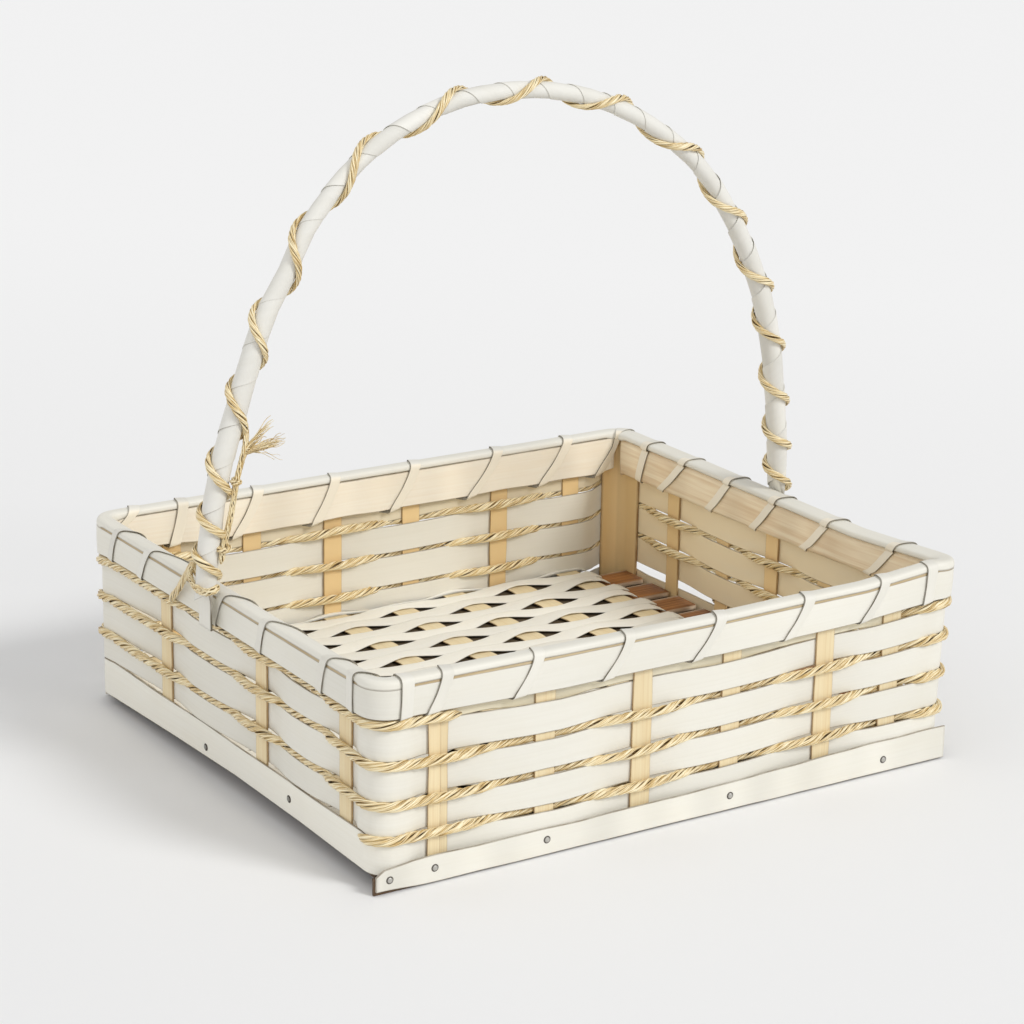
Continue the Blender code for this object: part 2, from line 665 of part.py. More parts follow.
def handle_core(arch):
    """Rod of the handle with its two flat ends."""
    heights = (HOOP_BOTTOM - TONGUE_DROP, ARCH_SPRING_HEIGHT - TONGUE_SHOULDER)
    left = [tongue_loop(-1, height) for height in heights]
    right = [tongue_loop(1, height) for height in reversed(heights)]
    rounds = [arch.circle(share, ROD_RADIUS) for share in arch_shares(ROD_SHOULDER / arch.length)]
    loft("handle_core", left + rounds + right, TAN_CANE, smooth=True)


def handle_wrap(arch):
    """Tape wound round the rod, as one sleeve."""
    inner = ROD_RADIUS + CLEARANCE
    shares = arch_shares(WRAP_START_SHARE)
    outer_loops = [arch.circle(share, inner + WRAP_THICKNESS) for share in shares]
    inner_loops = [arch.circle(share, inner) for share in shares]
    strips = []
    for k in range(ROD_SIDES):
        strips.append([loop[k] for loop in outer_loops] + [loop[k] for loop in reversed(inner_loops)])
    loft("handle_wrap", strips, WHITE_TAPE, closed=True, smooth=True)


def winding_turn(share):
    """Turns of the twine between the left foot's start and a share of the arch."""
    full = 2 * math.pi
    first, second = WINDING_CROWDING_SHARES
    crowded = first * math.sin(full * share) / full + second * math.sin(2 * full * share) / (2 * full)
    lean = WINDING_LEAN_SHARE * (1 - math.cos(full * share)) / full
    return WINDING_START_SHARE + WINDING_TURNS * share + crowded + lean


def least_gap(points, diameter):
    """Least gap of a cord to itself, between points more than two diameters apart along it."""
    line = np.array(points)
    steps = np.linalg.norm(np.diff(line, axis=0), axis=1)
    lengths = np.concatenate(((0.0,), np.cumsum(steps)))
    apart = np.abs(lengths[:, None] - lengths[None, :]) > 2 * diameter + 2 * steps.max()
    distances = np.linalg.norm(line[:, None] - line[None, :], axis=2)
    return distances[apart].min() - diameter


def tail_route(side, points):
    """Points of a twine tail on one side of the basket. The side is -1 left or 1 right."""
    face = HALF_LENGTH + HOOP_FACE
    return [(side * (face + out), HANDLE_SET_BACK + along, HOOP_BOTTOM + rise) for out, along, rise in points]


def handle_twine(arch):
    """Twine wound left-handed over the tape in one piece, its tails led to the outer hoop."""
    radius = ROD_RADIUS + WRAP_THICKNESS + 2 * CLEARANCE + HANDLE_TWINE_DIAMETER / 2
    fine = np.linspace(0, 1, 1001)
    turns = np.array([winding_turn(share) for share in fine])
    count = round((turns[-1] - turns[0]) * WINDING_POINTS_PER_TURN)
    winding = []
    for turn in np.linspace(turns[0], turns[-1], count + 1):
        middle, out, front = arch.at(np.interp(turn, turns, fine))
        angle = -2 * math.pi * turn
        winding.append(middle + radius * (math.cos(angle) * out + math.sin(angle) * front))
    points = tail_route(-1, LEFT_TAIL_POINTS) + [tuple(point) for point in winding]
    points += tail_route(1, reversed(RIGHT_TAIL_POINTS))
    cord("handle_twine", points, HANDLE_TWINE_DIAMETER, GOLD_TWINE)
    print("handle twine, least gap to itself in mm:", round(least_gap(points, HANDLE_TWINE_DIAMETER) * 1000, 2))


def main():
    """Build every piece of the basket."""
    clear_scene()
    wall_bands()
    wall_twines()
    stakes()
    corner_posts()
    rim()
    lashing()
    bottom_frame()
    floor_slats()
    floor_mat()
    arch = Arch()
    handle_core(arch)
    handle_wrap(arch)
    handle_twine(arch)


main()
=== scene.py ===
"""Looks of a cane gift basket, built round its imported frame.

Every length is in metres and every piece is in the frame's own place: +X along the
basket, +Y across it, +Z up. A strip, rope or sheet is a grid of points worked out from
formulas; its UV map is in metres, along the piece and across it.
"""

import logging
import math
from dataclasses import dataclass
from enum import Enum
from typing import Iterable, Iterator

import bpy
import numpy as np
from mathutils import Matrix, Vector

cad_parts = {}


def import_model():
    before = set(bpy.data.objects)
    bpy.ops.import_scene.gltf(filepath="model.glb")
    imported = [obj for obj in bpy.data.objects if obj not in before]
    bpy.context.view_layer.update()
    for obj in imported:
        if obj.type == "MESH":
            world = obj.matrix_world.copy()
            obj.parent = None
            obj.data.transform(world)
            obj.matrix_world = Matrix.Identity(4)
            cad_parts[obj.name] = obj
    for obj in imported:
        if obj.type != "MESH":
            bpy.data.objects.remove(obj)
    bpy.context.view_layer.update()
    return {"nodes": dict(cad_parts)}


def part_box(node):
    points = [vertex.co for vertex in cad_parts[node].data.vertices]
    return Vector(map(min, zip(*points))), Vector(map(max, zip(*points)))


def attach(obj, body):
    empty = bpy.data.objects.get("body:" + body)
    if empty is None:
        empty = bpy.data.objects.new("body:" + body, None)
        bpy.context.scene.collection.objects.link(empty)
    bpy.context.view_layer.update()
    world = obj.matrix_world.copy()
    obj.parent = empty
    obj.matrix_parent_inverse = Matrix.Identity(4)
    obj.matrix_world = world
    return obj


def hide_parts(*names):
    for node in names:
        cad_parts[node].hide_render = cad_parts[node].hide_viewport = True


LOG = logging.getLogger("basket")
BODY = "root"
Array = np.ndarray
Colour = tuple[float, float, float]
UP = np.array((0.0, 0.0, 1.0))


class Side(Enum):
    """Sides of the basket, in the order in which the wall's outline runs."""

    FRONT = "front"
    RIGHT = "right"
    BACK = "back"
    LEFT = "left"


SideTable = dict[Side, Iterable[tuple[float, float]]]
FRONT, RIGHT, BACK, LEFT = Side
LONG_SIDES = (FRONT, BACK)


def rgb(red: float, green: float, blue: float) -> Colour:
    """Linear colour of display values from 0 to 255.

    Each share s above 0.04045 becomes ((s + 0.055) / 1.055) to the power 2.4, and a
    smaller one s / 12.92.

    Args:
        red: Display value of red.
        green: Display value of green.
        blue: Display value of blue.

    Returns:
        The three linear values.
    """
    shares = np.array((red, green, blue)) / 255
    curved = np.where(shares > 0.04045, ((shares + 0.055) / 1.055) ** 2.4, shares / 12.92)
    return tuple(float(value) for value in curved)


def ripple(place: Array, seed: int, period: float, waves: tuple[int, int] = (3, 14)) -> Array:
    """Smooth irregular wave between about -1 and 1 that closes on itself.

    It is the mean of six cosines with whole numbers of waves in the period, seeded
    phases and weights that fall as the wave number grows.

    Args:
        place: Places along the piece.
        seed: Seed of the phases.
        period: Length after which the wave repeats.
        waves: Least and greatest number of waves in the period.

    Returns:
        The wave's value at each place.
    """
    draw = np.random.default_rng(seed)
    counts = draw.integers(waves[0], waves[1] + 1, 6)
    phases = draw.uniform(0, 2 * np.pi, 6)
    weights = 1 / np.sqrt(counts)
    turns = 2 * np.pi * np.asarray(place)[..., None] * counts / period + phases
    return np.sum(weights * np.cos(turns), axis=-1) / weights.sum() * 1.8


def smooth_step(value: Array) -> Array:
    """Value held to 0..1 and eased at both ends, as 3 v^2 - 2 v^3."""
    held = np.clip(value, 0, 1)
    return held * held * (3 - 2 * held)


def signed_power(value: Array, power: Array | float) -> Array:
    """Power of a value's size, with the value's own sign."""
    return np.sign(value) * np.abs(value) ** power


def unit(vectors: Array) -> Array:
    """Vectors of length one."""
    return vectors / np.linalg.norm(vectors, axis=-1, keepdims=True)


def lengths_along(points: Array) -> Array:
    """Length from the first point to each point of a line."""
    steps = np.linalg.norm(np.diff(points, axis=0), axis=1)
    return np.concatenate(((0.0,), np.cumsum(steps)))


def joined(x: Array, y: Array, z: Array) -> Array:
    """Points of three coordinates, each spread to their common shape."""
    return np.stack(np.broadcast_arrays(x, y, z), axis=-1)


def running_mean(values: Array, window: int) -> Array:
    """Mean over an odd number of neighbours, with the end values repeated."""
    padded = np.concatenate((values[:1].repeat(window // 2), values, values[-1:].repeat(window // 2)))
    return np.convolve(padded, np.ones(window) / window, "valid")


def circle(count: int) -> Array:
    """Equal angles round a circle, from 0 up to but not with a full turn."""
    return 2 * np.pi * np.arange(count) / count


def around_ring(angle: Array, first: Array, second: Array) -> Array:
    """Directions at angles from a first direction towards a second one."""
    return np.cos(angle)[..., None] * first + np.sin(angle)[..., None] * second


def new_object(name: str, data: bpy.types.ID) -> bpy.types.Object:
    """Object of some data, linked to the scene."""
    made = bpy.data.objects.new(name, data)
    bpy.context.scene.collection.objects.link(made)
    return made


def placing(right: Array, up: Array, back: Array, place: Iterable[float] = (0.0, 0.0, 0.0)) -> Matrix:
    """Matrix that turns X, Y and Z to three directions and moves the origin to a place."""
    matrix = np.eye(4)
    matrix[:3] = np.stack((right, up, back, place), axis=1)
    return Matrix(matrix.tolist())


def smooth_path(points: Iterable[Iterable[float]], step: float) -> Array:
    """Points at equal steps on a smooth curve through given points.

    Each span between two points is the Catmull-Rom cubic of its four neighbours, with
    the line's end points repeated.

    Args:
        points: Points that the curve passes.
        step: Distance between the points returned.

    Returns:
        Points along the curve.
    """
    knots = np.array([tuple(point) for point in points], float)
    padded = np.concatenate((knots[:1], knots, knots[-1:]))
    before, start, end, after = (padded[k:len(padded) - 3 + k, None] for k in range(4))
    share = np.linspace(0, 1, 16, endpoint=False)[None, :, None]
    curve = 0.5 * (2 * start + (end - before) * share
                   + (2 * before - 5 * start + 4 * end - after) * share ** 2
                   + (3 * start - before - 3 * end + after) * share ** 3)
    fine = np.concatenate((curve.reshape(-1, 3), knots[-1:]))
    lengths = lengths_along(fine)
    places = np.linspace(0, lengths[-1], max(2, int(lengths[-1] / step) + 1))
    return np.stack([np.interp(places, lengths, fine[:, axis]) for axis in range(3)], axis=1)


def path_frames(points: Array, reference: Array) -> tuple[Array, Array]:
    """Two directions square to a line at each of its points.

    The second is the reference direction less its part along the line, and the first is
    square to both.

    Args:
        points: Points of the line.
        reference: Direction that the second one follows, one for all points or one each.

    Returns:
        The first and the second direction.
    """
    along = unit(np.gradient(points, axis=0))
    reference = np.broadcast_to(reference, points.shape)
    second = unit(reference - np.sum(reference * along, axis=1, keepdims=True) * along)
    return np.cross(second, along), second


class MeshBuilder:
    """Gathers grids of points and turns them into one closed, outward-facing mesh."""

    def __init__(self, name: str) -> None:
        """Start an empty mesh with a piece's name."""
        self.name = name
        self.points: list[Array] = []
        self.corners: list[Array] = []
        self.sizes: list[Array] = []
        self.uvs: list[Array] = []
        self.values: dict[str, list[Array]] = {"edge": [], "tone": [], "inner": []}
        self.count = 0

    def add(self, points: Array, along: Array, across: Array, edge: Array | float = 0.0,
            tone: Array | float = 0.0, closed: bool = False, inner: Array | float = 0.0) -> None:
        """Add a tube or strip, whose rows run along it and whose columns go round its section.

        Its ends are capped unless the last row joins the first. A grid whose volume
        comes out negative is turned over.

        Args:
            points: Grid of points.
            along: Length along the piece of each row, and of the repeated first row if closed.
            across: Length round the section, one more than the columns, or one such line a row.
            edge: Edge value of each point, 0 on the face and 1 at a cut edge.
            tone: Light or dark shade of each point.
            closed: Whether the last row joins the first.
            inner: Share of the strip's inner colour at each point.
        """
        rows, columns = points.shape[:2]
        row, column = np.meshgrid(np.arange(rows if closed else rows - 1), np.arange(columns), indexing="ij")
        after = (row + 1) % rows
        beside = (column + 1) % columns
        quads = np.stack((row * columns + column, row * columns + beside,
                          after * columns + beside, after * columns + column), axis=-1).reshape(-1, 4)
        across = np.broadcast_to(across, (rows + closed, columns + 1))
        rise = np.stack((row, row, row + 1, row + 1), axis=-1).reshape(-1, 4)
        turn = np.stack((column, column + 1, column + 1, column), axis=-1).reshape(-1, 4)
        uv = np.stack((np.asarray(along)[rise], across[rise, turn]), axis=-1)
        flat = points.reshape(-1, 3)
        first, second, third, fourth = (flat[quads[:, k]] for k in range(4))
        volume = np.sum(first * np.cross(second, third)) + np.sum(first * np.cross(third, fourth))
        if volume < 0:
            quads, uv = quads[:, ::-1], uv[:, ::-1]
        self.corners.append((quads + self.count).ravel())
        self.sizes.append(np.full(len(quads), 4))
        self.uvs.append(uv.reshape(-1, 2))
        for end, backwards in () if closed else ((0, volume >= 0), (rows - 1, volume < 0)):
            order = np.arange(columns)[::-1] if backwards else np.arange(columns)
            self.corners.append(end * columns + order + self.count)
            self.sizes.append(np.array((columns,)))
            self.uvs.append(np.stack((np.full(columns, along[end]), across[end, order]), axis=1))
        self.points.append(flat)
        for name, value in (("edge", edge), ("tone", tone), ("inner", inner)):
            self.values[name].append(np.broadcast_to(value, (rows, columns)).ravel())
        self.count += len(flat)

    def build(self, material: bpy.types.Material, slot: str, replaces: Iterable[str] = ()) -> None:
        """Make the object, put it on the frame's body and dress it.

        Args:
            material: Finish of the piece.
            slot: Not used.
            replaces: CAD nodes that it stands for.
        """
        mesh = bpy.data.meshes.new(self.name)
        points, corners, sizes = (np.concatenate(part) for part in (self.points, self.corners, self.sizes))
        mesh.vertices.add(len(points))
        mesh.vertices.foreach_set("co", points.ravel())
        mesh.loops.add(len(corners))
        mesh.loops.foreach_set("vertex_index", corners)
        mesh.polygons.add(len(sizes))
        mesh.polygons.foreach_set("loop_start", np.concatenate(((0,), np.cumsum(sizes)[:-1])))
        mesh.polygons.foreach_set("use_smooth", sizes == 4)
        mesh.update(calc_edges=True)
        mesh.uv_layers.new(name="UVMap").data.foreach_set("uv", np.concatenate(self.uvs).ravel())
        for name, parts in self.values.items():
            attribute = mesh.attributes.new(name, "FLOAT", "POINT")
            attribute.data.foreach_set("value", np.concatenate(parts).astype(np.float32))
        mesh.validate()
        mesh.materials.append(material)
        piece = new_object(self.name, mesh)
        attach(piece, BODY)
        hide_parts(*replaces)
        LOG.info("%s: %d faces", self.name, len(sizes))


def make_piece(name: str, dress: tuple, *grid: Array, **values: Array | float) -> None:
    """Piece of one grid, with its finish and the CAD nodes that it stands for."""
    builder = MeshBuilder(name)
    builder.add(*grid, **values)
    builder.build(*dress)


@dataclass(frozen=True)
class Ribbon:
    """Section of a flat strip with softly rounded edges."""

    thickness: float
    crown: float = 0.0  # How far its middle stands out.
    rounding: float = 0.00012
    line: float = 0.0005  # Width of the darker line along each edge.

    def section(self, low: Array, high: Array) -> tuple[Array, Array, Array, Array]:
        """Section's points between two edges, fourteen of them: seven on each face.

        Across the strip a point lies at one edge, at the rounding or the line inside it,
        or in the middle. Through it, it lies on a face or halfway down the edge.

        Args:
            low: Place of one edge at each station.
            high: Place of the other edge at each station.

        Returns:
            Places across, offsets through, edge values, and lengths round the section.
        """
        half = self.thickness / 2
        e, r = self.line, self.rounding
        share = np.array((0, 0, 0, 0, 0, 0.5, 1, 1, 1, 1, 1, 1, 0.5, 0))
        inset = np.array((r, 0, 0, r, e, 0, -e, -r, 0, 0, -r, -e, 0, e))
        through = half * np.array((-1, -0.5, 0.5, 1, 1, 1, 1, 1, 0.5, -0.5, -1, -1, -1, -1))
        through = through + self.crown * np.array((0, 0, 0, 0, 0.2, 1, 0.2, 0, 0, 0, 0, 0.2, 1, 0.2))
        edge = np.array((1, 1, 1, 1, 0, 0, 0, 1, 1, 1, 1, 0, 0, 0), float)
        low, high = np.broadcast_arrays(np.atleast_1d(low), np.atleast_1d(high))
        across = low[:, None] * (1 - share) + high[:, None] * share + inset
        mean = np.stack((across.mean(axis=0), through), axis=1)
        ring = np.concatenate((mean, mean[:1]))
        return across, through, edge, lengths_along(ring)


@dataclass(frozen=True)
class Rope:
    """Twine laid of a few plies."""

    half_across: float  # Half its breadth across the surface that it lies on.
    half_through: float  # Half its breadth square to that surface.
    lay: float  # Length in which a ply goes once round.
    plies: int = 3
    hand: int = 1  # 1 or -1, the way that the plies turn.
    sides: int = 10
    step: float = 0.0009
    fullness: float = 1.12  # Size of a ply against plies that only just touch.

    def offsets(self, place: Array, swell: Array, seed: int) -> Iterator[tuple[Array, Array, Array, Array]]:
        """Offsets of each ply's surface from the rope's middle line.

        A ply's middle goes round the rope at angle 2 pi place / lay, and its surface goes
        round that middle, both stretched to the rope's half breadths. The groove value is
        one less the distance from the rope's middle, as a share of the rope's size; it
        paints shade into the grooves between the plies.

        Args:
            place: Length along the rope at each station.
            swell: Size of the rope at each station against its plain size.
            seed: Seed of the plies' unevenness.

        Yields:
            Offsets across and through, groove values of painted shade and lengths round the ply.
        """
        draw = np.random.default_rng(seed)
        share = 1 / (1 + 1 / math.sin(math.pi / self.plies))
        around = circle(self.sides)
        total = place[-1] + self.step
        for ply in range(self.plies):
            drift = 0.35 * ripple(place, int(draw.integers(1 << 30)), total, (5, 40))
            thick = 1 + 0.16 * ripple(place, int(draw.integers(1 << 30)), total, (10, 120))
            turn = self.hand * 2 * np.pi * (place / self.lay + ply / self.plies) + drift
            round_ply = share * self.fullness * thick[:, None]
            cos_part = (1 - share) * np.cos(turn)[:, None] + round_ply * np.cos(around)
            sin_part = (1 - share) * np.sin(turn)[:, None] + round_ply * np.sin(around)
            across = self.half_across * swell[:, None] * cos_part
            through = self.half_through * swell[:, None] * sin_part
            groove = np.clip(1 - np.hypot(cos_part, sin_part), 0, 1)
            ply_radius = share * self.half_across
            girth = ply_radius * (np.append(around, 2 * np.pi)[None, :] - 0.6 * turn[:, None])
            yield across, through, groove, girth + ply * 0.37

    def along_path(self, builder: MeshBuilder, points: Array, reference: Array, seed: int,
                   taper: tuple[float, float] = (0.0, 0.0)) -> None:
        """Add the rope along a line of points.

        Args:
            builder: Mesh that it goes into.
            points: Points of its middle line.
            reference: Direction through the rope, one for all points or one each.
            seed: Seed of its unevenness.
            taper: Lengths over which it thins out at its start and end.
        """
        place = lengths_along(points)
        aside, upward = path_frames(points, reference)
        swell = 1 + 0.06 * ripple(place, seed, place[-1] + self.step, (4, 40))
        swell = swell * end_taper(place, taper)
        for across, through, groove, girth in self.offsets(place, swell, seed):
            grid = (points[:, None] + across[..., None] * aside[:, None]
                    + through[..., None] * upward[:, None])
            builder.add(grid, place, girth, edge=groove, tone=0.5 * ripple(place, seed + 7, 0.11)[:, None])


def end_taper(place: Array, taper: tuple[float, float]) -> Array:
    """Size that eases from a quarter to one over a length at each end.

    Args:
        place: Length along the piece at each station.
        taper: Lengths over which it thins out at its start and end, 0 for none.

    Returns:
        The size at each station.
    """
    size = np.ones_like(place)
    for reach, distance in zip(taper, (place - place[0], place[-1] - place)):
        if reach > 0:
            size = size * (0.25 + 0.75 * np.sqrt(smooth_step(distance / reach)))
    return size


class Settling:
    """How the woven wall has settled: its rise at some heights, and how far it leans outwards."""

    LEVELS = (0.0, 0.024, 0.0414, 0.0588, 0.076, 0.0795, 0.095)
    LIFTS = {
        FRONT: ((-0.14, (0.0, 0.0004, -0.0013, -0.0003, 0.0022, 0.0019, 0.0008)),
                (-0.065, (0.0, -0.0014, -0.0018, -0.0016, 0.0, 0.0, 0.0)),
                (0.022, (0.0, 0.0, 0.0, 0.0, 0.0, 0.0, 0.0)),
                (0.105, (0.0, 0.0024, 0.002, 0.0025, 0.0018, 0.0017, 0.001)),
                (0.149, (0.0, 0.0027, 0.0041, 0.0052, 0.005, 0.0049, 0.0046))),
        RIGHT: ((-0.129, (0.0, 0.0027, 0.0041, 0.0052, 0.005, 0.004, 0.0024)),
                (-0.07, (0.0, 0.0019, 0.0029, 0.0036, 0.0036, 0.0016, -0.0004)),
                (0.0, (0.0, 0.001, 0.0014, 0.0018, 0.002, 0.0014, 0.0004)),
                (0.129, (0.0, 0.0, 0.0, 0.0, 0.0, 0.0, 0.0))),
        BACK: ((0.14, (0.0, -0.0055, -0.01, -0.0092, -0.0084, -0.0038, 0.0)),
               (-0.1, (0.0, -0.0055, -0.01, -0.0092, -0.0084, -0.0038, 0.0))),
        LEFT: ((0.12, (0.0, 0.0, -0.002, 0.0, 0.002, 0.0016, 0.0)),
               (0.037, (0.0, 0.0, -0.0019, 0.0012, 0.0024, 0.002, 0.0)),
               (-0.04, (0.0, 0.0, 0.0, 0.0021, 0.0024, 0.002, 0.0)),
               (-0.1, (0.0, 0.0, -0.0003, 0.0021, 0.0018, 0.0015, 0.0))),
    }
    RIM_LEVEL = 0.095
    FLARES = {
        FRONT: ((0.06, 0.0), (0.149, 0.0015)),
        RIGHT: ((-0.129, 0.004), (-0.065, 0.0014), (-0.01, 0.0)),
        BACK: ((0.0, 0.0),),
    }


@dataclass(frozen=True)
class Outline:
    """Middle line of the wall seen from above: a rectangle with round corners."""

    half_length: float = 0.158
    half_width: float = 0.138
    radius: float = 0.009
    settling: Settling = Settling()

    @property
    def straight_x(self) -> float:
        """Half the straight stretch along X."""
        return self.half_length - self.radius

    @property
    def straight_y(self) -> float:
        """Half the straight stretch along Y."""
        return self.half_width - self.radius

    @property
    def arc(self) -> float:
        """Length of one corner."""
        return self.radius * math.pi / 2

    @property
    def total(self) -> float:
        """Length of the whole outline."""
        return 4 * (self.straight_x + self.straight_y + self.arc)

    def run(self, side: Side, place: float) -> float:
        """Length along the outline, from the front's middle towards +X, of a place on a side.

        Args:
            side: The side.
            place: X on the front and back, or Y on the left and right.

        Returns:
            The length, which can lie beyond one turn.
        """
        if side is FRONT:
            return place
        if side is RIGHT:
            return self.straight_x + self.arc + self.straight_y + place
        if side is BACK:
            return self.total / 2 - place
        return self.total - self.straight_x - self.arc - self.straight_y - place

    def corner_starts(self) -> tuple[float, float, float, float]:
        """Lengths along the outline at which the four corners start, front right first."""
        front_right = self.straight_x
        back_right = front_right + self.arc + 2 * self.straight_y
        back_left = self.total / 2 + self.straight_x
        front_left = self.total - self.straight_x - self.arc
        return front_right, back_right, back_left, front_left

    def reach(self, side: Side) -> float:
        """Half the straight stretch of a side."""
        return self.straight_x if side in LONG_SIDES else self.straight_y

    def half(self, side: Side) -> float:
        """Half a side's whole length."""
        return self.half_length if side in LONG_SIDES else self.half_width

    def apart(self, run: Array, centre: Array | float) -> Array:
        """Distances from a place on the outline, the shorter way round it."""
        return np.abs((run - centre + self.total / 2) % self.total - self.total / 2)

    def along_all(self, run: Array, table: SideTable) -> Array:
        """Value at lengths along the outline, in straight lines between a table's rows.

        Args:
            run: Lengths along the outline.
            table: Places along each side, and the value at each.

        Returns:
            The value at each length.
        """
        rows = sorted((self.run(side, place) % self.total, value)
                      for side, places in table.items() for place, value in places)
        places, values = (np.array(part, float) for part in zip(*rows))
        return np.interp(np.asarray(run) % self.total, places, values, period=self.total)

    def beside(self, run: Array, side: Side, fade: float = 0.004) -> Array:
        """Share of a place that belongs to a side, 0 beyond the middles of its corners."""
        end = self.reach(side) + self.arc / 2
        return smooth_step((end + fade - self.apart(run, self.run(side, 0.0))) / (2 * fade))

    def settled(self, run: Array, out: Array, level: Array) -> tuple[Array, Array]:
        """Outward distances and heights after the wall has settled.

        The rise is the sum over the table's heights of the rise there times a weight
        that falls in a straight line from 1 at that height to 0 at the next ones.

        Args:
            run: Lengths along the outline.
            out: Distances outwards from it.
            level: Heights.

        Returns:
            The settled distances and heights.
        """
        shape = self.settling
        lift = np.zeros_like(level)
        for number, weights in enumerate(np.eye(len(shape.LEVELS))):
            table = {side: [(place, rises[number]) for place, rises in rows]
                     for side, rows in shape.LIFTS.items()}
            lift = lift + np.interp(level, shape.LEVELS, weights) * self.along_all(run, table)
        lean = self.along_all(run, shape.FLARES) * level / shape.RIM_LEVEL
        return out + lean, level + lift

    def points(self, run: Array, out: Array, level: Array) -> Array:
        """Points of the wall, settled.

        A corner's centre steps along the inner rectangle while the heading turns by a
        right angle at each corner, both as straight lines of the length along the
        outline. A point is the centre plus radius and outward distance along the
        direction that the heading gives.

        Args:
            run: Lengths along the outline.
            out: Distances outwards from it.
            level: Heights.

        Returns:
            Points, in an array of the arguments' common shape and three coordinates.
        """
        sx, sy = self.straight_x, self.straight_y
        starts = np.repeat(self.corner_starts(), 2) + np.tile((0, self.arc), 4)
        knots = np.concatenate(((0.0,), starts, (self.total,)))
        quarter = np.pi / 2
        headings = quarter * np.array((0, 0, 1, 1, 2, 2, 3, 3, 4, 4))
        centre_x = np.array((0, sx, sx, sx, sx, -sx, -sx, -sx, -sx, 0))
        centre_y = np.array((-sy, -sy, -sy, sy, sy, sy, sy, -sy, -sy, -sy))
        run, out, level = np.broadcast_arrays(run, out, level)
        out, level = self.settled(run, out, level)
        inside = run % self.total
        heading = np.interp(inside, knots, headings)
        reach = self.radius + out
        x = np.interp(inside, knots, centre_x) + reach * np.sin(heading)
        y = np.interp(inside, knots, centre_y) - reach * np.cos(heading)
        return np.stack((x, y, level), axis=-1)


@dataclass(frozen=True)
class Stake:
    """One upright strip of the wall."""

    node: str
    run: float  # Length along the outline of its middle.
    side: Side
    band_side: int  # Side on which the bands pass it, 1 outside and -1 inside.


class Weave:
    """Places of the stakes, and how a strip or twine passes them in and out."""

    BAND_SIDES = {
        FRONT: (-1, 1, -1, 1, -1, 1),
        RIGHT: (1, -1, 1, -1, 1),
        BACK: (1, -1, 1, -1, 1, -1),
        LEFT: (-1, 1, -1, 1, -1),
    }
    HOLD = 0.00605
    POST_ARMS = ((0.003, 0.003), (0.009, 0.003), (0.003, 0.003), (0.003, 0.003))
    POST_MARGIN = 0.0008

    def __init__(self, outline: Outline) -> None:
        """Read the stakes' places from the frame."""
        self.outline = outline
        self.stakes: list[Stake] = []
        for side, band_sides in self.BAND_SIDES.items():
            for number, band_side in enumerate(band_sides, 1):
                node = f"stake_{side.value}_{number}"
                low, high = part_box(node)
                middle = (low + high) / 2
                place = middle.x if side in LONG_SIDES else middle.y
                self.stakes.append(Stake(node, outline.run(side, place), side, band_side))

    def level(self, run: Array, way: int, plain_ends: bool = False) -> Array:
        """Side of the wall on which a strip lies, from -1 inside to 1 outside.

        Between two stakes the side changes along (3 s - s^3) / 2, where s goes straight
        from one stake's side to the next one's.

        Args:
            run: Lengths along the outline.
            way: 1 for bands and -1 for twine.
            plain_ends: Whether it stays outside all stakes of the left and right sides.

        Returns:
            The side at each length.
        """
        total = self.outline.total
        knots = []
        for stake in self.stakes:
            outside = plain_ends and stake.side in (LEFT, RIGHT)
            value = 1 if outside else way * stake.band_side
            knots += [((stake.run - self.HOLD) % total, value), ((stake.run + self.HOLD) % total, value)]
        for start, (before, after) in zip(self.outline.corner_starts(), self.POST_ARMS):
            ends = (start - before - self.POST_MARGIN, start + self.outline.arc + after + self.POST_MARGIN)
            knots += [(end % total, 1) for end in ends]
        places, values = (np.array(part, float) for part in zip(*sorted(knots)))
        straight = np.interp(np.asarray(run) % total, places, values, period=total)
        return (3 * straight - straight ** 3) / 2


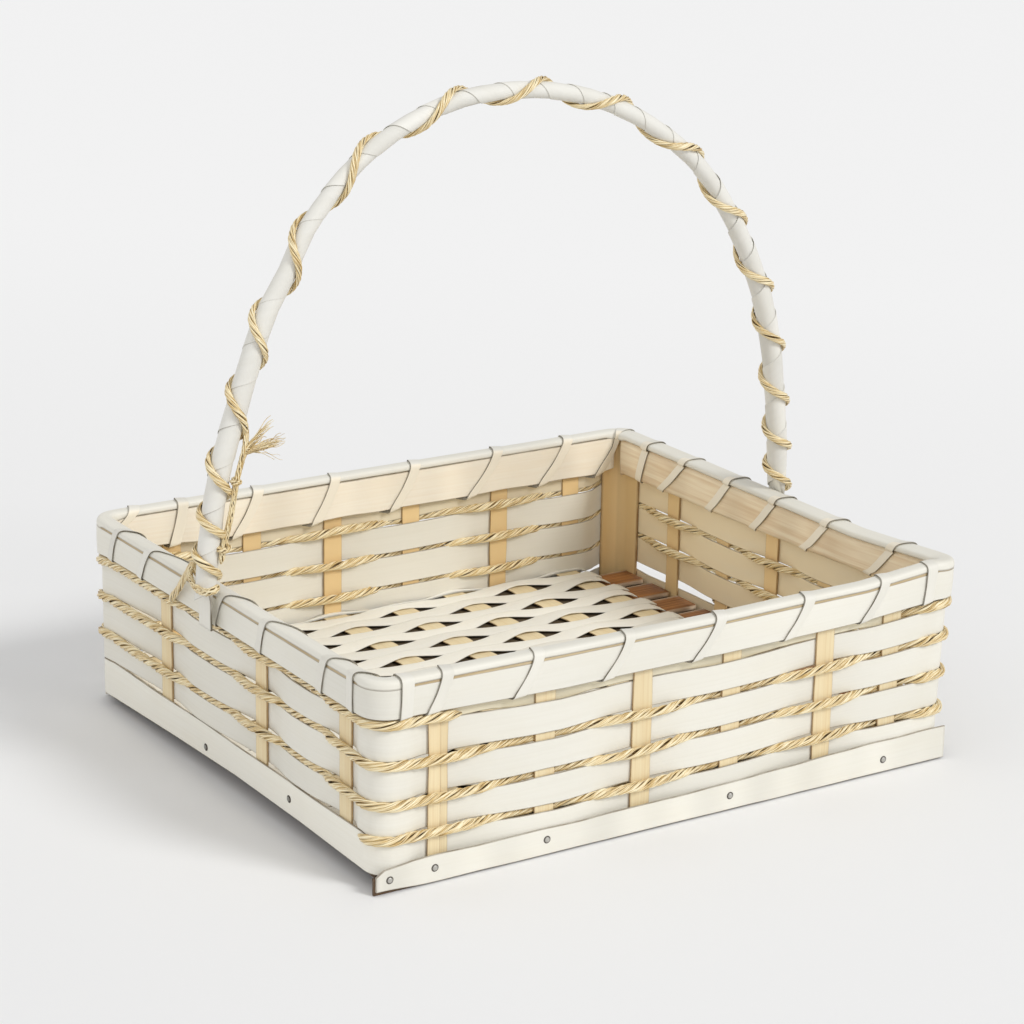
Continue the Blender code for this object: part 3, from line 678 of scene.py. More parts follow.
class Nodes:
    """Short way to place and link the nodes of one shader tree."""

    def __init__(self, tree: bpy.types.NodeTree) -> None:
        """Work in a given tree."""
        self.tree = tree
        self.column = 0

    def add(self, kind: str, inputs: dict | None = None, **settings: object) -> bpy.types.Node:
        """Place a node.

        Args:
            kind: Blender's name of the node's type, without its leading ShaderNode.
            inputs: Socket name or number, and a value or the output socket to link.
            settings: Properties of the node.

        Returns:
            The node.
        """
        node = self.tree.nodes.new(kind if kind.startswith("NodeGroup") else "ShaderNode" + kind)
        node.location = (180 * self.column, 0)
        self.column += 1
        for name, value in settings.items():
            setattr(node, name, value)
        for name, value in (inputs or {}).items():
            self.set(node.inputs[name], value)
        return node

    def set(self, socket: bpy.types.NodeSocket, value: object) -> None:
        """Give a socket a value, or link it to an output."""
        if isinstance(value, bpy.types.NodeSocket):
            self.tree.links.new(value, socket)
        else:
            socket.default_value = value

    def math(self, operation: str, first: object, second: object = 0.0, clamp: bool = False) -> object:
        """Output of a Math node on two values or sockets."""
        return self.add("Math", {0: first, 1: second}, operation=operation, use_clamp=clamp).outputs[0]

    def mix(self, share: object, first: object, second: object, blend: str = "MIX") -> object:
        """Output of a colour Mix node."""
        first, second = ((*c, 1) if isinstance(c, tuple) else c for c in (first, second))
        node = self.add("Mix", {0: share, 6: first, 7: second}, data_type="RGBA", blend_type=blend)
        return node.outputs[2]

    def noise(self, vector: object, scale: float, detail: float = 2.0, rough: float = 0.5) -> object:
        """Value of a Noise texture."""
        sockets = {"Vector": vector, "Scale": scale, "Detail": detail, "Roughness": rough}
        return self.add("TexNoise", sockets).outputs[0]

    def read(self, name: str) -> object:
        """Value of one of the mesh's attributes."""
        return self.add("Attribute", attribute_name=name).outputs["Fac"]

    def remap(self, value: object, low: float, high: float, start: float, end: float) -> object:
        """Value carried from one span to another."""
        return self.add("MapRange", {0: value, 1: low, 2: high, 3: start, 4: end}).outputs[0]

    def dress(self, shader: bpy.types.Node, colour: object, rough: object, height: object, depth: float,
              strength: float = 1.0) -> None:
        """Link a shader's colour and roughness, and its normal to a bump of a height."""
        bump = self.add("Bump", {"Strength": strength, "Distance": depth, "Height": height}).outputs[0]
        for name, value in (("Base Color", colour), ("Roughness", rough), ("Normal", bump)):
            self.set(shader.inputs[name], value)

    def stretch(self, vector: object, along: object, across: object) -> object:
        """Vector with its first part multiplied by one value and its others by another."""
        factors = self.add("CombineXYZ", {0: along, 1: across, 2: across}).outputs[0]
        return self.add("VectorMath", {0: vector, 1: factors}, operation="MULTIPLY").outputs[0]


def new_group(name: str, inputs: dict[str, str], outputs: tuple[str, ...]) -> tuple[Nodes, dict, object]:
    """Start a shader node group.

    Args:
        name: Its name.
        inputs: Names and socket types of its inputs.
        outputs: Names of its outputs, all of them values.

    Returns:
        Its nodes, its inputs by name and its output node.
    """
    tree = bpy.data.node_groups.new(name, "ShaderNodeTree")
    for label, kind in inputs.items():
        tree.interface.new_socket(name=label, in_out="INPUT", socket_type=kind)
    for label in outputs:
        tree.interface.new_socket(name=label, in_out="OUTPUT", socket_type="NodeSocketFloat")
    nodes = Nodes(tree)
    entry = nodes.add("NodeGroupInput")
    return nodes, {label: entry.outputs[label] for label in inputs}, nodes.add("NodeGroupOutput")


class Effects:
    """Shader node groups that several finishes share."""

    def __init__(self) -> None:
        """Build the groups."""
        self.grain = self._grain()
        self.edge = self._edge()

    def _grain(self) -> bpy.types.NodeTree:
        """Fibres that run along a piece, and soft blotches, as shares and a height."""
        kinds = {"Vector": "NodeSocketVector", "Along": "NodeSocketFloat", "Across": "NodeSocketFloat"}
        nodes, given, leave = new_group("cane_grain", kinds, ("Streak", "Blotch", "Height"))
        drawn = nodes.stretch(given["Vector"], given["Along"], given["Across"])
        streak = nodes.noise(drawn, 1.0, 3.0, 0.6)
        fine = nodes.noise(drawn, 3.7, 2.0, 0.6)
        blotch = nodes.noise(nodes.stretch(given["Vector"], 22.0, 70.0), 1.0, 2.0)
        height = nodes.math("ADD", nodes.math("MULTIPLY", streak, 0.6), nodes.math("MULTIPLY", fine, 0.4))
        for name, value in (("Streak", streak), ("Blotch", blotch), ("Height", height)):
            nodes.set(leave.inputs[name], value)
        return nodes.tree

    def _edge(self) -> bpy.types.NodeTree:
        """Uneven line along the edges, from the edge value of the piece."""
        kinds = {"Vector": "NodeSocketVector", "Edge": "NodeSocketFloat"}
        nodes, given, leave = new_group("cut_edge", kinds, ("Line",))
        broken = nodes.noise(nodes.stretch(given["Vector"], 90.0, 260.0), 1.0, 2.0)
        strength = nodes.math("ADD", nodes.math("MULTIPLY", broken, 1.3), 0.15)
        line = nodes.math("MULTIPLY", nodes.math("POWER", given["Edge"], 1.4), strength, clamp=True)
        nodes.set(leave.inputs["Line"], line)
        return nodes.tree


def new_material(name: str) -> tuple[bpy.types.Material, Nodes, bpy.types.Node]:
    """New material with its nodes and its Principled shader."""
    material = bpy.data.materials.new(name)
    material.use_nodes = True
    nodes = Nodes(material.node_tree)
    return material, nodes, material.node_tree.nodes["Principled BSDF"]


@dataclass(frozen=True)
class StripFinish:
    """Finish of a split strip: grain along it, soft blotches and a line at its cut edges."""

    name: str
    light: Colour  # Colour between the fibres.
    dark: Colour  # Colour of the fibres.
    stain: Colour  # Colour of the blotches.
    line: Colour
    streaks: float = 0.35
    stains: float = 0.3
    lines: float = 0.8
    roughness: tuple[float, float] = (0.45, 0.6)
    along: float = 14.0
    across: float = 900.0
    bump: float = 0.00005
    on_object: bool = False  # Whether the grain follows the object's X instead of its UV map.
    raw: Colour = (0.85, 0.72, 0.52)  # Colour of the strip's inner face.

    def material(self, effects: Effects) -> bpy.types.Material:
        """Build the material from the shared effects."""
        material, nodes, shader = new_material(self.name)
        place = nodes.add("TexCoord").outputs["Object" if self.on_object else "UV"]
        grain = nodes.add("Group", node_tree=effects.grain)
        nodes.set(grain.inputs["Vector"], place)
        nodes.set(grain.inputs["Along"], self.along)
        nodes.set(grain.inputs["Across"], self.across)
        edge = nodes.add("Group", node_tree=effects.edge)
        nodes.set(edge.inputs["Vector"], place)
        nodes.set(edge.inputs["Edge"], nodes.read("edge"))
        streak = nodes.remap(grain.outputs["Streak"], 0.4, 0.7, 0.0, self.streaks)
        stain = nodes.remap(grain.outputs["Blotch"], 0.45, 0.75, 0.0, self.stains)
        colour = nodes.mix(streak, self.light, self.dark)
        colour = nodes.mix(nodes.read("inner"), colour, self.raw)
        colour = nodes.mix(stain, colour, self.stain)
        shade = nodes.math("ADD", nodes.math("MULTIPLY", nodes.read("tone"), 0.06), 0.97)
        grey = nodes.add("CombineColor", {0: shade, 1: shade, 2: shade}).outputs[0]
        colour = nodes.mix(1.0, colour, grey, "MULTIPLY")
        line = nodes.math("MULTIPLY", edge.outputs["Line"], self.lines, clamp=True)
        rough = nodes.remap(grain.outputs["Streak"], 0.3, 0.7, *self.roughness)
        nodes.dress(shader, nodes.mix(line, colour, self.line), rough, grain.outputs["Height"], self.bump)
        return material


@dataclass(frozen=True)
class TwineFinish:
    """Finish of golden grass twine: glossy fibres along the plies, and grooves darkened as painted shade."""

    name: str
    deep: Colour  # Colour of the darkest fibres, and painted shade in the grooves.
    middle: Colour
    bright: Colour  # Colour of the palest fibres, matched to the twine's glints: partly painted highlight.
    roughness: tuple[float, float] = (0.4, 0.25)
    bump: float = 0.00018

    def material(self) -> bpy.types.Material:
        """Build the material."""
        material, nodes, shader = new_material(self.name)
        place = nodes.add("TexCoord").outputs["UV"]
        fibre = nodes.noise(nodes.stretch(place, 90.0, 2600.0), 1.0, 2.0, 0.65)
        patch = nodes.noise(nodes.stretch(place, 70.0, 200.0), 1.0, 2.0)
        mixed = nodes.math("ADD", nodes.math("MULTIPLY", fibre, 0.75), nodes.math("MULTIPLY", patch, 0.25))
        ramp = nodes.add("ValToRGB", {0: mixed})
        stops = ramp.color_ramp.elements
        stops[0].position, stops[0].color = 0.36, (*self.deep, 1)
        stops[1].position, stops[1].color = 0.56, (*self.bright, 1)
        stops.new(0.44).color = (*self.middle, 1)
        # Painted shade: the groove value darkens the grooves between the plies to the deep colour.
        groove = nodes.remap(nodes.read("edge"), 0.14, 0.42, 0.0, 0.9)
        rough = nodes.remap(fibre, 0.35, 0.65, *self.roughness)
        nodes.dress(shader, nodes.mix(groove, ramp.outputs[0], self.deep), rough, fibre, self.bump)
        return material


@dataclass(frozen=True)
class SteelFinish:
    """Finish of the small nails: dull grey steel with fine scratches, darkened by the edge value as painted
    shade.
    """

    name: str = "nail_steel"
    colour: Colour = rgb(206, 204, 198)

    def material(self) -> bpy.types.Material:
        """Build the material."""
        material, nodes, shader = new_material(self.name)
        place = nodes.add("TexCoord").outputs["Object"]
        wear = nodes.noise(place, 1600.0, 3.0)
        colour = nodes.mix(nodes.math("MULTIPLY", wear, 0.5), self.colour, rgb(120, 116, 108))
        # Painted shade: the edge value darkens the pressed ring round each head, and more of the heads on the
        # left and right walls.
        colour = nodes.mix(nodes.read("edge"), colour, rgb(60, 52, 42))
        shader.inputs["Metallic"].default_value = 0.6
        nodes.dress(shader, colour, nodes.remap(wear, 0.3, 0.7, 0.3, 0.5), wear, 0.0001, 0.4)
        return material


class Finishes:
    """Every finish of the basket, built once."""

    def __init__(self) -> None:
        """Build the shared effects and the materials."""
        effects = Effects()

        def strip(name: str, *colours: Colour, **values: object) -> bpy.types.Material:
            """Material of a split strip, from display colours."""
            linear = {key: rgb(*value) if key == "raw" else value for key, value in values.items()}
            return StripFinish(name, *(rgb(*colour) for colour in colours), **linear).material(effects)

        self.white = strip(
            "white_chip_strip", (237, 234, 223), (230, 226, 213), (232, 226, 208),
            (122, 104, 78), raw=(244, 226, 190))
        # Painted light: the mat's strips are a paler copy of the white strips, to lift the shade inside the
        # basket.
        self.mat = strip(
            "mat_strip", (250, 247, 236), (243, 238, 222), (246, 240, 222), (130, 112, 84))
        # Partly painted light: the inner rim strips' cream is their own colour, made paler to lift the shade
        # inside the basket.
        self.cream = strip(
            "cream_chip_strip", (251, 242, 224), (244, 230, 206), (246, 230, 202),
            (140, 120, 90), streaks=0.5, stains=0.4, lines=0.7)
        # Painted shadow and shade: the dark line colour marks the shadow beside a raised edge, and the cream
        # inner colour paints warm shade inside the rim.
        self.lashing = strip(
            "lashing_strip", (236, 233, 223), (230, 226, 213), (230, 224, 208),
            (92, 82, 62), lines=1.0, raw=(250, 241, 222))
        self.tan = strip(
            "tan_cane_strip", (243, 226, 186), (228, 202, 154), (232, 204, 154),
            (140, 98, 50), streaks=0.7, stains=0.4, along=9.0, raw=(240, 208, 152))
        self.honey = strip(
            "honey_bamboo", (252, 236, 206), (224, 194, 152), (212, 176, 132),
            (150, 112, 70), streaks=0.7, stains=0.5, lines=0.6, roughness=(0.3, 0.42), along=12.0,
            across=330.0)
        # Partly painted shade: the core's tan is darkened towards the grey-brown of the shaded seam between
        # hoop and top strip.
        self.core = strip(
            "rim_core_cane", (204, 184, 146), (176, 150, 108), (156, 130, 92),
            (110, 84, 52), streaks=0.8, stains=0.4)
        # Partly painted light: the filler is a paler cream, to lift the shade under the hoop.
        self.filler = strip(
            "pale_filler_strip", (236, 228, 202), (226, 214, 182), (228, 216, 184),
            (120, 104, 70), streaks=0.6, stains=0.4)
        # Painted light: the pale line colour goes on the slats' shaded side faces.
        self.lath = strip(
            "brown_lath", (188, 128, 72), (114, 72, 38), (98, 60, 34), (240, 222, 196),
            streaks=0.85, stains=0.5, roughness=(0.5, 0.7), along=16.0, across=700.0, bump=0.0002)
        # Partly painted shadow: a darker, greyer brown than the slats, standing also for the contact shadow
        # under the base strips.
        self.foot_lath = strip(
            "foot_lath", (112, 86, 58), (70, 52, 34), (60, 44, 30), (60, 44, 30),
            streaks=0.85, stains=0.5, roughness=(0.5, 0.7), along=20.0, across=620.0, bump=0.0002)
        self.hidden_cane = strip(
            "hidden_cane", (226, 204, 162), (196, 166, 116), (200, 166, 112),
            (150, 106, 56), streaks=0.6, on_object=True)
        # Painted shadow: a dark sheet under the mat, seen through its openings where there is only shade.
        self.shade = strip(
            "mat_painted_shadow_sheet", (104, 88, 66), (76, 62, 44), (70, 58, 40), (70, 58, 40),
            streaks=0.6, roughness=(0.7, 0.9))
        self.tape = strip(
            "handle_tape", (232, 230, 223), (226, 224, 215), (222, 219, 208),
            (150, 144, 128), stains=0.4, lines=0.75, roughness=(0.62, 0.78), along=120.0, across=420.0,
            bump=0.00003)
        self.twine = TwineFinish(
            "gold_grass_twine", rgb(122, 90, 42), rgb(212, 178, 110), rgb(254, 242, 206)).material()
        self.steel = SteelFinish().material()


@dataclass
class Studio:
    """Camera, floor and light."""

    azimuth: float = -32.9
    elevation: float = 17.5
    roll: float = 1.0
    focal_pixels: float = 3114.0
    photo_pixels: float = 1024.0
    sensor_mm: float = 36.0
    camera_place: tuple[float, float, float] = (-0.788, -1.215, 0.569)
    floor_size: float = 24.0
    key_energy: float = 1.5
    key_angle: float = 18.0
    key_direction: tuple[float, float, float] = (0.59, -1.2, 1.0)
    sky_strength: tuple[float, float] = (0.93, 0.4)  # Strength of the sky on the left and on the right.

    def build(self) -> None:
        """Make the camera, the floor, the lamp and the sky."""
        self._camera()
        self._floor()
        self._light()
        view = bpy.context.scene.view_settings
        view.view_transform = "Standard"

    def _camera(self) -> None:
        """Camera that looks along minus its own Z, with its X and Y turned by the roll."""
        azimuth, elevation, roll = (math.radians(a) for a in (self.azimuth, self.elevation, self.roll))
        back = np.array((math.sin(azimuth) * math.cos(elevation),
                         -math.cos(azimuth) * math.cos(elevation), math.sin(elevation)))
        level = unit(np.cross(-back, (0, 0, 1)))
        above = np.cross(level, -back)
        right = level * math.cos(roll) + above * math.sin(roll)
        up = above * math.cos(roll) - level * math.sin(roll)
        data = bpy.data.cameras.new("camera")
        data.sensor_width = self.sensor_mm
        data.lens = self.focal_pixels / self.photo_pixels * self.sensor_mm
        data.clip_start, data.clip_end = 0.05, 60
        camera = new_object("camera", data)
        camera.matrix_world = placing(right, up, back, self.camera_place)
        bpy.context.scene.camera = camera

    def _floor(self) -> None:
        """Wide floor just under the basket, paler towards +X and +Y as painted light falloff."""
        half = self.floor_size / 2
        mesh = bpy.data.meshes.new("floor")
        corners = [(-half, -half, 0), (half, -half, 0), (half, half, 0), (-half, half, 0)]
        mesh.from_pydata(corners, [], [(0, 1, 2, 3)])
        material, nodes, shader = new_material("studio_floor")
        place = nodes.add("TexCoord").outputs["Object"]
        apart = nodes.add("SeparateXYZ", {0: place})
        # Painted light: the floor's colour grows paler towards +X and +Y, with a little noise, as the light
        # falls off across it.
        across = nodes.math("MULTIPLY", apart.outputs[0], 0.55)
        away = nodes.math("MULTIPLY", apart.outputs[1], 0.25)
        share = nodes.math("ADD", nodes.math("ADD", across, away), nodes.noise(place, 0.7, 1.0), clamp=True)
        nodes.set(shader.inputs["Base Color"], nodes.mix(share, rgb(237, 237, 237), rgb(248, 248, 248)))
        shader.inputs["Roughness"].default_value = 0.9
        shader.inputs["Specular IOR Level"].default_value = 0.1
        mesh.materials.append(material)
        floor = new_object("floor", mesh)

    def _light(self) -> None:
        """One soft sun from the front right, and a sky that is brighter on the left."""
        data = bpy.data.lights.new("key", "SUN")
        data.energy = self.key_energy
        data.angle = math.radians(self.key_angle)
        key = new_object("key", data)
        towards = unit(np.array(self.key_direction))
        aside = unit(np.cross((0, 0, 1), towards))
        key.matrix_world = placing(aside, np.cross(towards, aside), towards)
        world = bpy.data.worlds.new("sky")
        bpy.context.scene.world = world
        world.use_nodes = True
        nodes = Nodes(world.node_tree)
        direction = nodes.add("SeparateXYZ", {0: nodes.add("TexCoord").outputs["Generated"]})
        sky = world.node_tree.nodes["Background"]
        sky.inputs["Color"].default_value = (1.0, 1.0, 1.0, 1)
        nodes.set(sky.inputs["Strength"], nodes.remap(direction.outputs[0], -1.0, 1.0, *self.sky_strength))


@dataclass
class WallStrips:
    """The four woven bands, the stakes, the corner posts and the fillers under the rim."""

    weave: Weave
    finishes: Finishes
    thickness: float = 0.0009
    reach: float = 0.00125  # Distance of a band's middle from the outline where it passes a stake.
    # Heights of the twine rows, the top one first.
    row_levels: tuple[float, ...] = (0.076, 0.0588, 0.0414, 0.024)
    top_edge: float = 0.0739
    step: float = 0.0016
    stake_half: float = 0.00525
    stake_top: float = 0.0935
    foot: float = 0.002  # Bottom of the stakes of the front and back walls.
    end_foot: float = 0.0118  # Bottom of the stakes of the left and right walls, and of the corner posts.

    # Heights of the lowest band's lower and upper edge.
    LOWEST_BOTTOM = {
        FRONT: ((-0.149, 0.007), (0.149, 0.007)),
        RIGHT: ((0.0, 0.009), (0.129, 0.006)),
        BACK: ((0.0, 0.006),),
        LEFT: ((0.129, 0.006), (0.053, 0.0088), (-0.009, 0.0104), (-0.072, 0.0099), (-0.129, 0.0082)),
    }
    LOWEST_TOP = {
        FRONT: ((-0.149, 0.0222), (0.0, 0.0222)),
        RIGHT: ((0.0, 0.0222), (0.11, 0.0212)),
        BACK: ((0.14, 0.023), (-0.14, 0.023)),
        LEFT: ((0.129, 0.0252), (0.0, 0.026), (-0.128, 0.0258)),
    }
    # Share of the inner colour on the bands' inner faces. The raw inner face is real; its share changing
    # from side to side, full on the right and slight on the back, is painted warm shade.
    RAW_AND_WARM_SHADE_INSIDE = {FRONT: ((0.149, 0.5),), RIGHT: ((-0.129, 1.0), (0.129, 1.0)),
                  BACK: ((0.149, 0.1), (-0.149, 0.1)), LEFT: ((0.0, 0.5),)}
    # Half the gap between two bands, and at the lowest row of twine.
    HALF_GAP = {
        FRONT: ((-0.149, 0.0017), (0.149, 0.0017)),
        RIGHT: ((-0.12, 0.0013), (0.12, 0.0013)),
        BACK: ((0.14, 0.001), (-0.14, 0.001)),
        LEFT: ((0.12, 0.0015), (-0.12, 0.0015)),
    }
    LOWEST_HALF_GAP = {
        FRONT: ((0.0, 0.0018),),
        RIGHT: ((0.12, 0.002),),
        BACK: ((0.14, 0.001), (-0.14, 0.001)),
        LEFT: ((0.12, 0.0016), (-0.12, 0.0016)),
    }

    def build(self) -> None:
        """Make every strip of the wall."""
        self._bands()
        self._stakes()
        self._posts()
        self._filler()

    def stray(self, run: Array, row: int) -> Array:
        """Height by which a twine row and the edges next to it stray."""
        return 0.0003 * ripple(run, 40 + row, self.weave.outline.total, (6, 22))

    def _strip(self, name: str, run: Array, out: Array, edges: tuple[Array, Array], ribbon: Ribbon,
               raw: Array | float, seed: int, paler: Array | float = 0.0) -> MeshBuilder:
        """Mesh of a strip that runs along the wall.

        Args:
            name: Name of the piece.
            run: Lengths along the outline of its stations.
            out: Distance outwards of its middle at each station.
            edges: Heights of its lower and upper edge at each station.
            ribbon: Its section.
            raw: Share of the inner colour on its inner face at each station.
            seed: Seed of its shade.
            paler: How much paler than its finish it is at each station, as painted light.

        Returns:
            The mesh.
        """
        across, through, edge, girth = ribbon.section(*edges)
        points = self.weave.outline.points(run[:, None], out[:, None] + through, across)
        builder = MeshBuilder(name)
        tone = 0.5 * ripple(run, seed, self.weave.outline.total, (2, 7)) + paler
        inner = np.broadcast_to(raw, run.shape)[:, None] * (through < 0)
        builder.add(points, run, girth, edge=edge, tone=tone[:, None], inner=inner)
        return builder

    def _bands(self) -> None:
        """Bands, each from one side of a stake all the way round to its other side.

        A band's edges follow the rows of twine above and below it. On the left side the
        edge above the lowest band follows that band's raised edge instead.
        """
        outline = self.weave.outline
        total = outline.total
        joints = {side: [stake.run for stake in self.weave.stakes if stake.side is side] for side in Side}
        ribbon = Ribbon(self.thickness, crown=0.00012)
        for row in range(4):
            lowest = row == 3
            joint = joints[BACK][1] if lowest else joints[LEFT][-1]
            run = np.linspace(joint + 0.0004, joint + total - 0.0004, int(total / self.step))
            out = self.reach * self.weave.level(run, 1, plain_ends=lowest)
            raised = outline.along_all(run, self.LOWEST_TOP)
            if lowest:
                low, high = outline.along_all(run, self.LOWEST_BOTTOM), raised + self.stray(run, row)
            else:
                below, above = (outline.along_all(run, table) for table in (
                    self.LOWEST_HALF_GAP if row == 2 else self.HALF_GAP, self.HALF_GAP))
                low = self.row_levels[row + 1] + below + self.stray(run, row + 1)
                high = self.row_levels[row] - above + self.stray(run, row)
                high = np.minimum(high, self.top_edge)
                low = np.maximum(low, raised + 0.0006)
            raw = outline.along_all(run, self.RAW_AND_WARM_SHADE_INSIDE)
            # Painted light: the lowest band is paler on the left wall, to lift the shade that falls there.
            paler = 1.6 * outline.beside(run, LEFT) if lowest else 0.0
            node = f"wall_band_{row + 1}"
            builder = self._strip(f"{node}_strip", run, out, (low, high), ribbon, raw, 60 + row, paler)
            builder.build(self.finishes.white, "white_chip", (node,))

    def _stakes(self) -> None:
        """Upright strips, with the doubled one near the front's left corner."""
        for number, stake in enumerate(self.weave.stakes):
            foot = self.foot if stake.side in LONG_SIDES else self.end_foot
            level = np.linspace(foot, self.stake_top, 30)
            half = self.stake_half + 0.0002 * ripple(level, 200 + number, 0.12, (1, 5))
            lean = 0.00025 * ripple(level, 300 + number, 0.3, (1, 2))
            builder = MeshBuilder(f"{stake.node}_strip")
            if number == 0:
                split = stake.run + 0.0012
                self._upright(builder, level, (stake.run - half, split + lean), 0.00026, 0.0005, 0.2)
                self._upright(builder, level, (split - 0.0026, stake.run + half), -0.00026, 0.00046, -0.5)
            else:
                self._upright(builder, level, (stake.run - half + lean, stake.run + half + lean), 0.0, 0.001,
                              0.6 * math.sin(2.4 * number))
            builder.build(self.finishes.tan, "tan_cane", (stake.node,))

    def _upright(self, builder: MeshBuilder, level: Array, edges: tuple, out: float, thickness: float,
                 tone: float) -> None:
        """Add one upright strip.

        Args:
            builder: Mesh that it goes into.
            level: Heights of its stations.
            edges: Lengths along the outline of its two edges.
            out: Distance outwards of its middle.
            thickness: Its thickness.
            tone: Its shade.
        """
        low, high = (np.broadcast_to(edge, level.shape) for edge in edges)
        across, through, edge, girth = Ribbon(thickness, line=0.0004).section(low, high)
        points = self.weave.outline.points(across, out + through, level[:, None])
        builder.add(points, level, girth, edge=edge, tone=tone, inner=1.0 * (through < 0))

    def _posts(self) -> None:
        """Wide strips folded round the corners."""
        outline = self.weave.outline
        names = ("front_right", "back_right", "back_left", "front_left")
        level = np.linspace(self.end_foot, self.stake_top, 20)
        share = np.linspace(0, 1, 19)
        for name, start, (before, after) in zip(names, outline.corner_starts(), self.weave.POST_ARMS):
            run = start - before + share * (before + outline.arc + after)
            ring = np.concatenate((run, run[::-1]))
            through = np.repeat((0.0005, -0.0005), len(run))
            edge = np.zeros(len(ring))
            edge[[0, len(run) - 1, len(run), -1]] = 1
            points = outline.points(ring[None, :], through[None, :], level[:, None])
            girth = np.append(ring, ring[0])
            # Painted shade: each post's arm before the corner's middle is darker than the one after it, for
            # the arm that faces away from the light.
            tone = np.where(ring < start + outline.arc / 2, -1.2, 0.4)
            node = f"corner_post_{name}"
            make_piece(f"{node}_strip", (self.finishes.tan, "tan_cane", (node,)), points, level, girth,
                       edge=edge, tone=tone, inner=1.0 * (through < 0))

    def _filler(self) -> None:
        """Pale strips under the rim: behind the front wall's stakes and outside the back wall's."""
        place = np.linspace(-0.128, 0.128, 120)
        far_place = np.linspace(-0.146, 0.128, 120)
        low = 0.0742 + 0.0003 * ripple(place, 77, 0.3)
        front_low = low - 0.0014 * np.maximum(self.weave.level(place, 1), 0)
        back = self.weave.outline.run(BACK, 0.0) + far_place
        for name, run, out, bottom, top in (("front", place, -0.0009, front_low, 0.0797),
                                            ("back", back, 0.0009, low + 0.0017, 0.0799)):
            strip = self._strip(f"rim_filler_{name}", run, np.full_like(run, out),
                                (bottom, np.full_like(run, top)), Ribbon(0.0007), 0.5, 78)
            strip.build(self.finishes.filler, "tan_cane")


@dataclass
class WallTwines:
    """Rows of twine woven between the bands."""

    weave: Weave
    strips: WallStrips
    finishes: Finishes
    reach: float = 0.0026  # Distance of a row's middle from the outline where it passes a stake.
    rope: Rope = Rope(0.0022, 0.0019, 0.025, plies=6, hand=-1, sides=8, step=0.001)
    stake_gap: float = 0.0105  # Distance between the stake beside a strand's end and that end.
    # How much lower a row lies on the side of the wall that faces away in front and on the left.
    sink: float = 0.0006

    def build(self) -> None:
        """Make the five strands of the four rows."""
        outline = self.weave.outline
        total = outline.total
        runs = {side: [s.run for s in self.weave.stakes if s.side is side] for side in Side}
        gap = self.stake_gap
        back_joint = runs[BACK][1]
        corner = outline.corner_starts()[-1]
        self._row("wall_twine_1", 0, runs[FRONT][-1] - gap, runs[FRONT][0] + total + gap)
        self._row("wall_twine_2", 1, back_joint + 0.0021, back_joint + total - 0.0021)
        self._row("wall_twine_3", 2, back_joint + 0.0021, back_joint + total - 0.0021)
        self._row("wall_twine_4_front", 3, corner - 0.003 - total, runs[RIGHT][3] + gap)
        self._row("wall_twine_4_back", 3, runs[BACK][-1] - gap, runs[BACK][0] + gap)

    def _row(self, node: str, row: int, start: float, end: float) -> None:
        """Make one strand between two lengths along the outline.

        It is thickest where it bulges over a stake and thinner where it passes between
        the bands.

        Args:
            node: CAD node that it stands for.
            row: Number of its row, from 0 at the top.
            start: Length along the outline of its start.
            end: Length along the outline of its end.
        """
        outline = self.weave.outline
        run = np.linspace(start, end, int((end - start) / self.rope.step))
        side = self.weave.level(run, -1)
        front_and_left = outline.apart(run, -outline.half_width) < outline.total / 4
        away = np.where(front_and_left, 1 - side, 1 + side) / 2
        on_left = outline.beside(run, LEFT, 0.002)
        side = side * (1 - on_left * (side < 0) * 1.15)
        away = away * (1 - on_left)
        middle = self.strips.row_levels[row] + self.strips.stray(run, row) - self.sink * away
        out = self.reach * side
        if row == 0:
            on_right = outline.apart(run, outline.run(RIGHT, 0.0)) < outline.straight_y
            out = np.where(on_right & (side < 0), 0.3 * out, out)
        place = run - start
        swell = 0.94 + 0.12 * side ** 2 + 0.07 * ripple(run, 90 + row, outline.total, (20, 80))
        swell = swell * end_taper(place, (0.006, 0.006))
        builder = MeshBuilder(f"{node}_rope")
        tone = 0.5 * ripple(run, 95 + row, outline.total)
        for across, through, groove, girth in self.rope.offsets(place, swell, 500 + 10 * row + len(node)):
            points = outline.points(run[:, None], out[:, None] + through, middle[:, None])
            points[..., 2] += across
            builder.add(points, place, girth, edge=groove, tone=tone[:, None])
        builder.build(self.finishes.twine, "gold_twine", (node,))


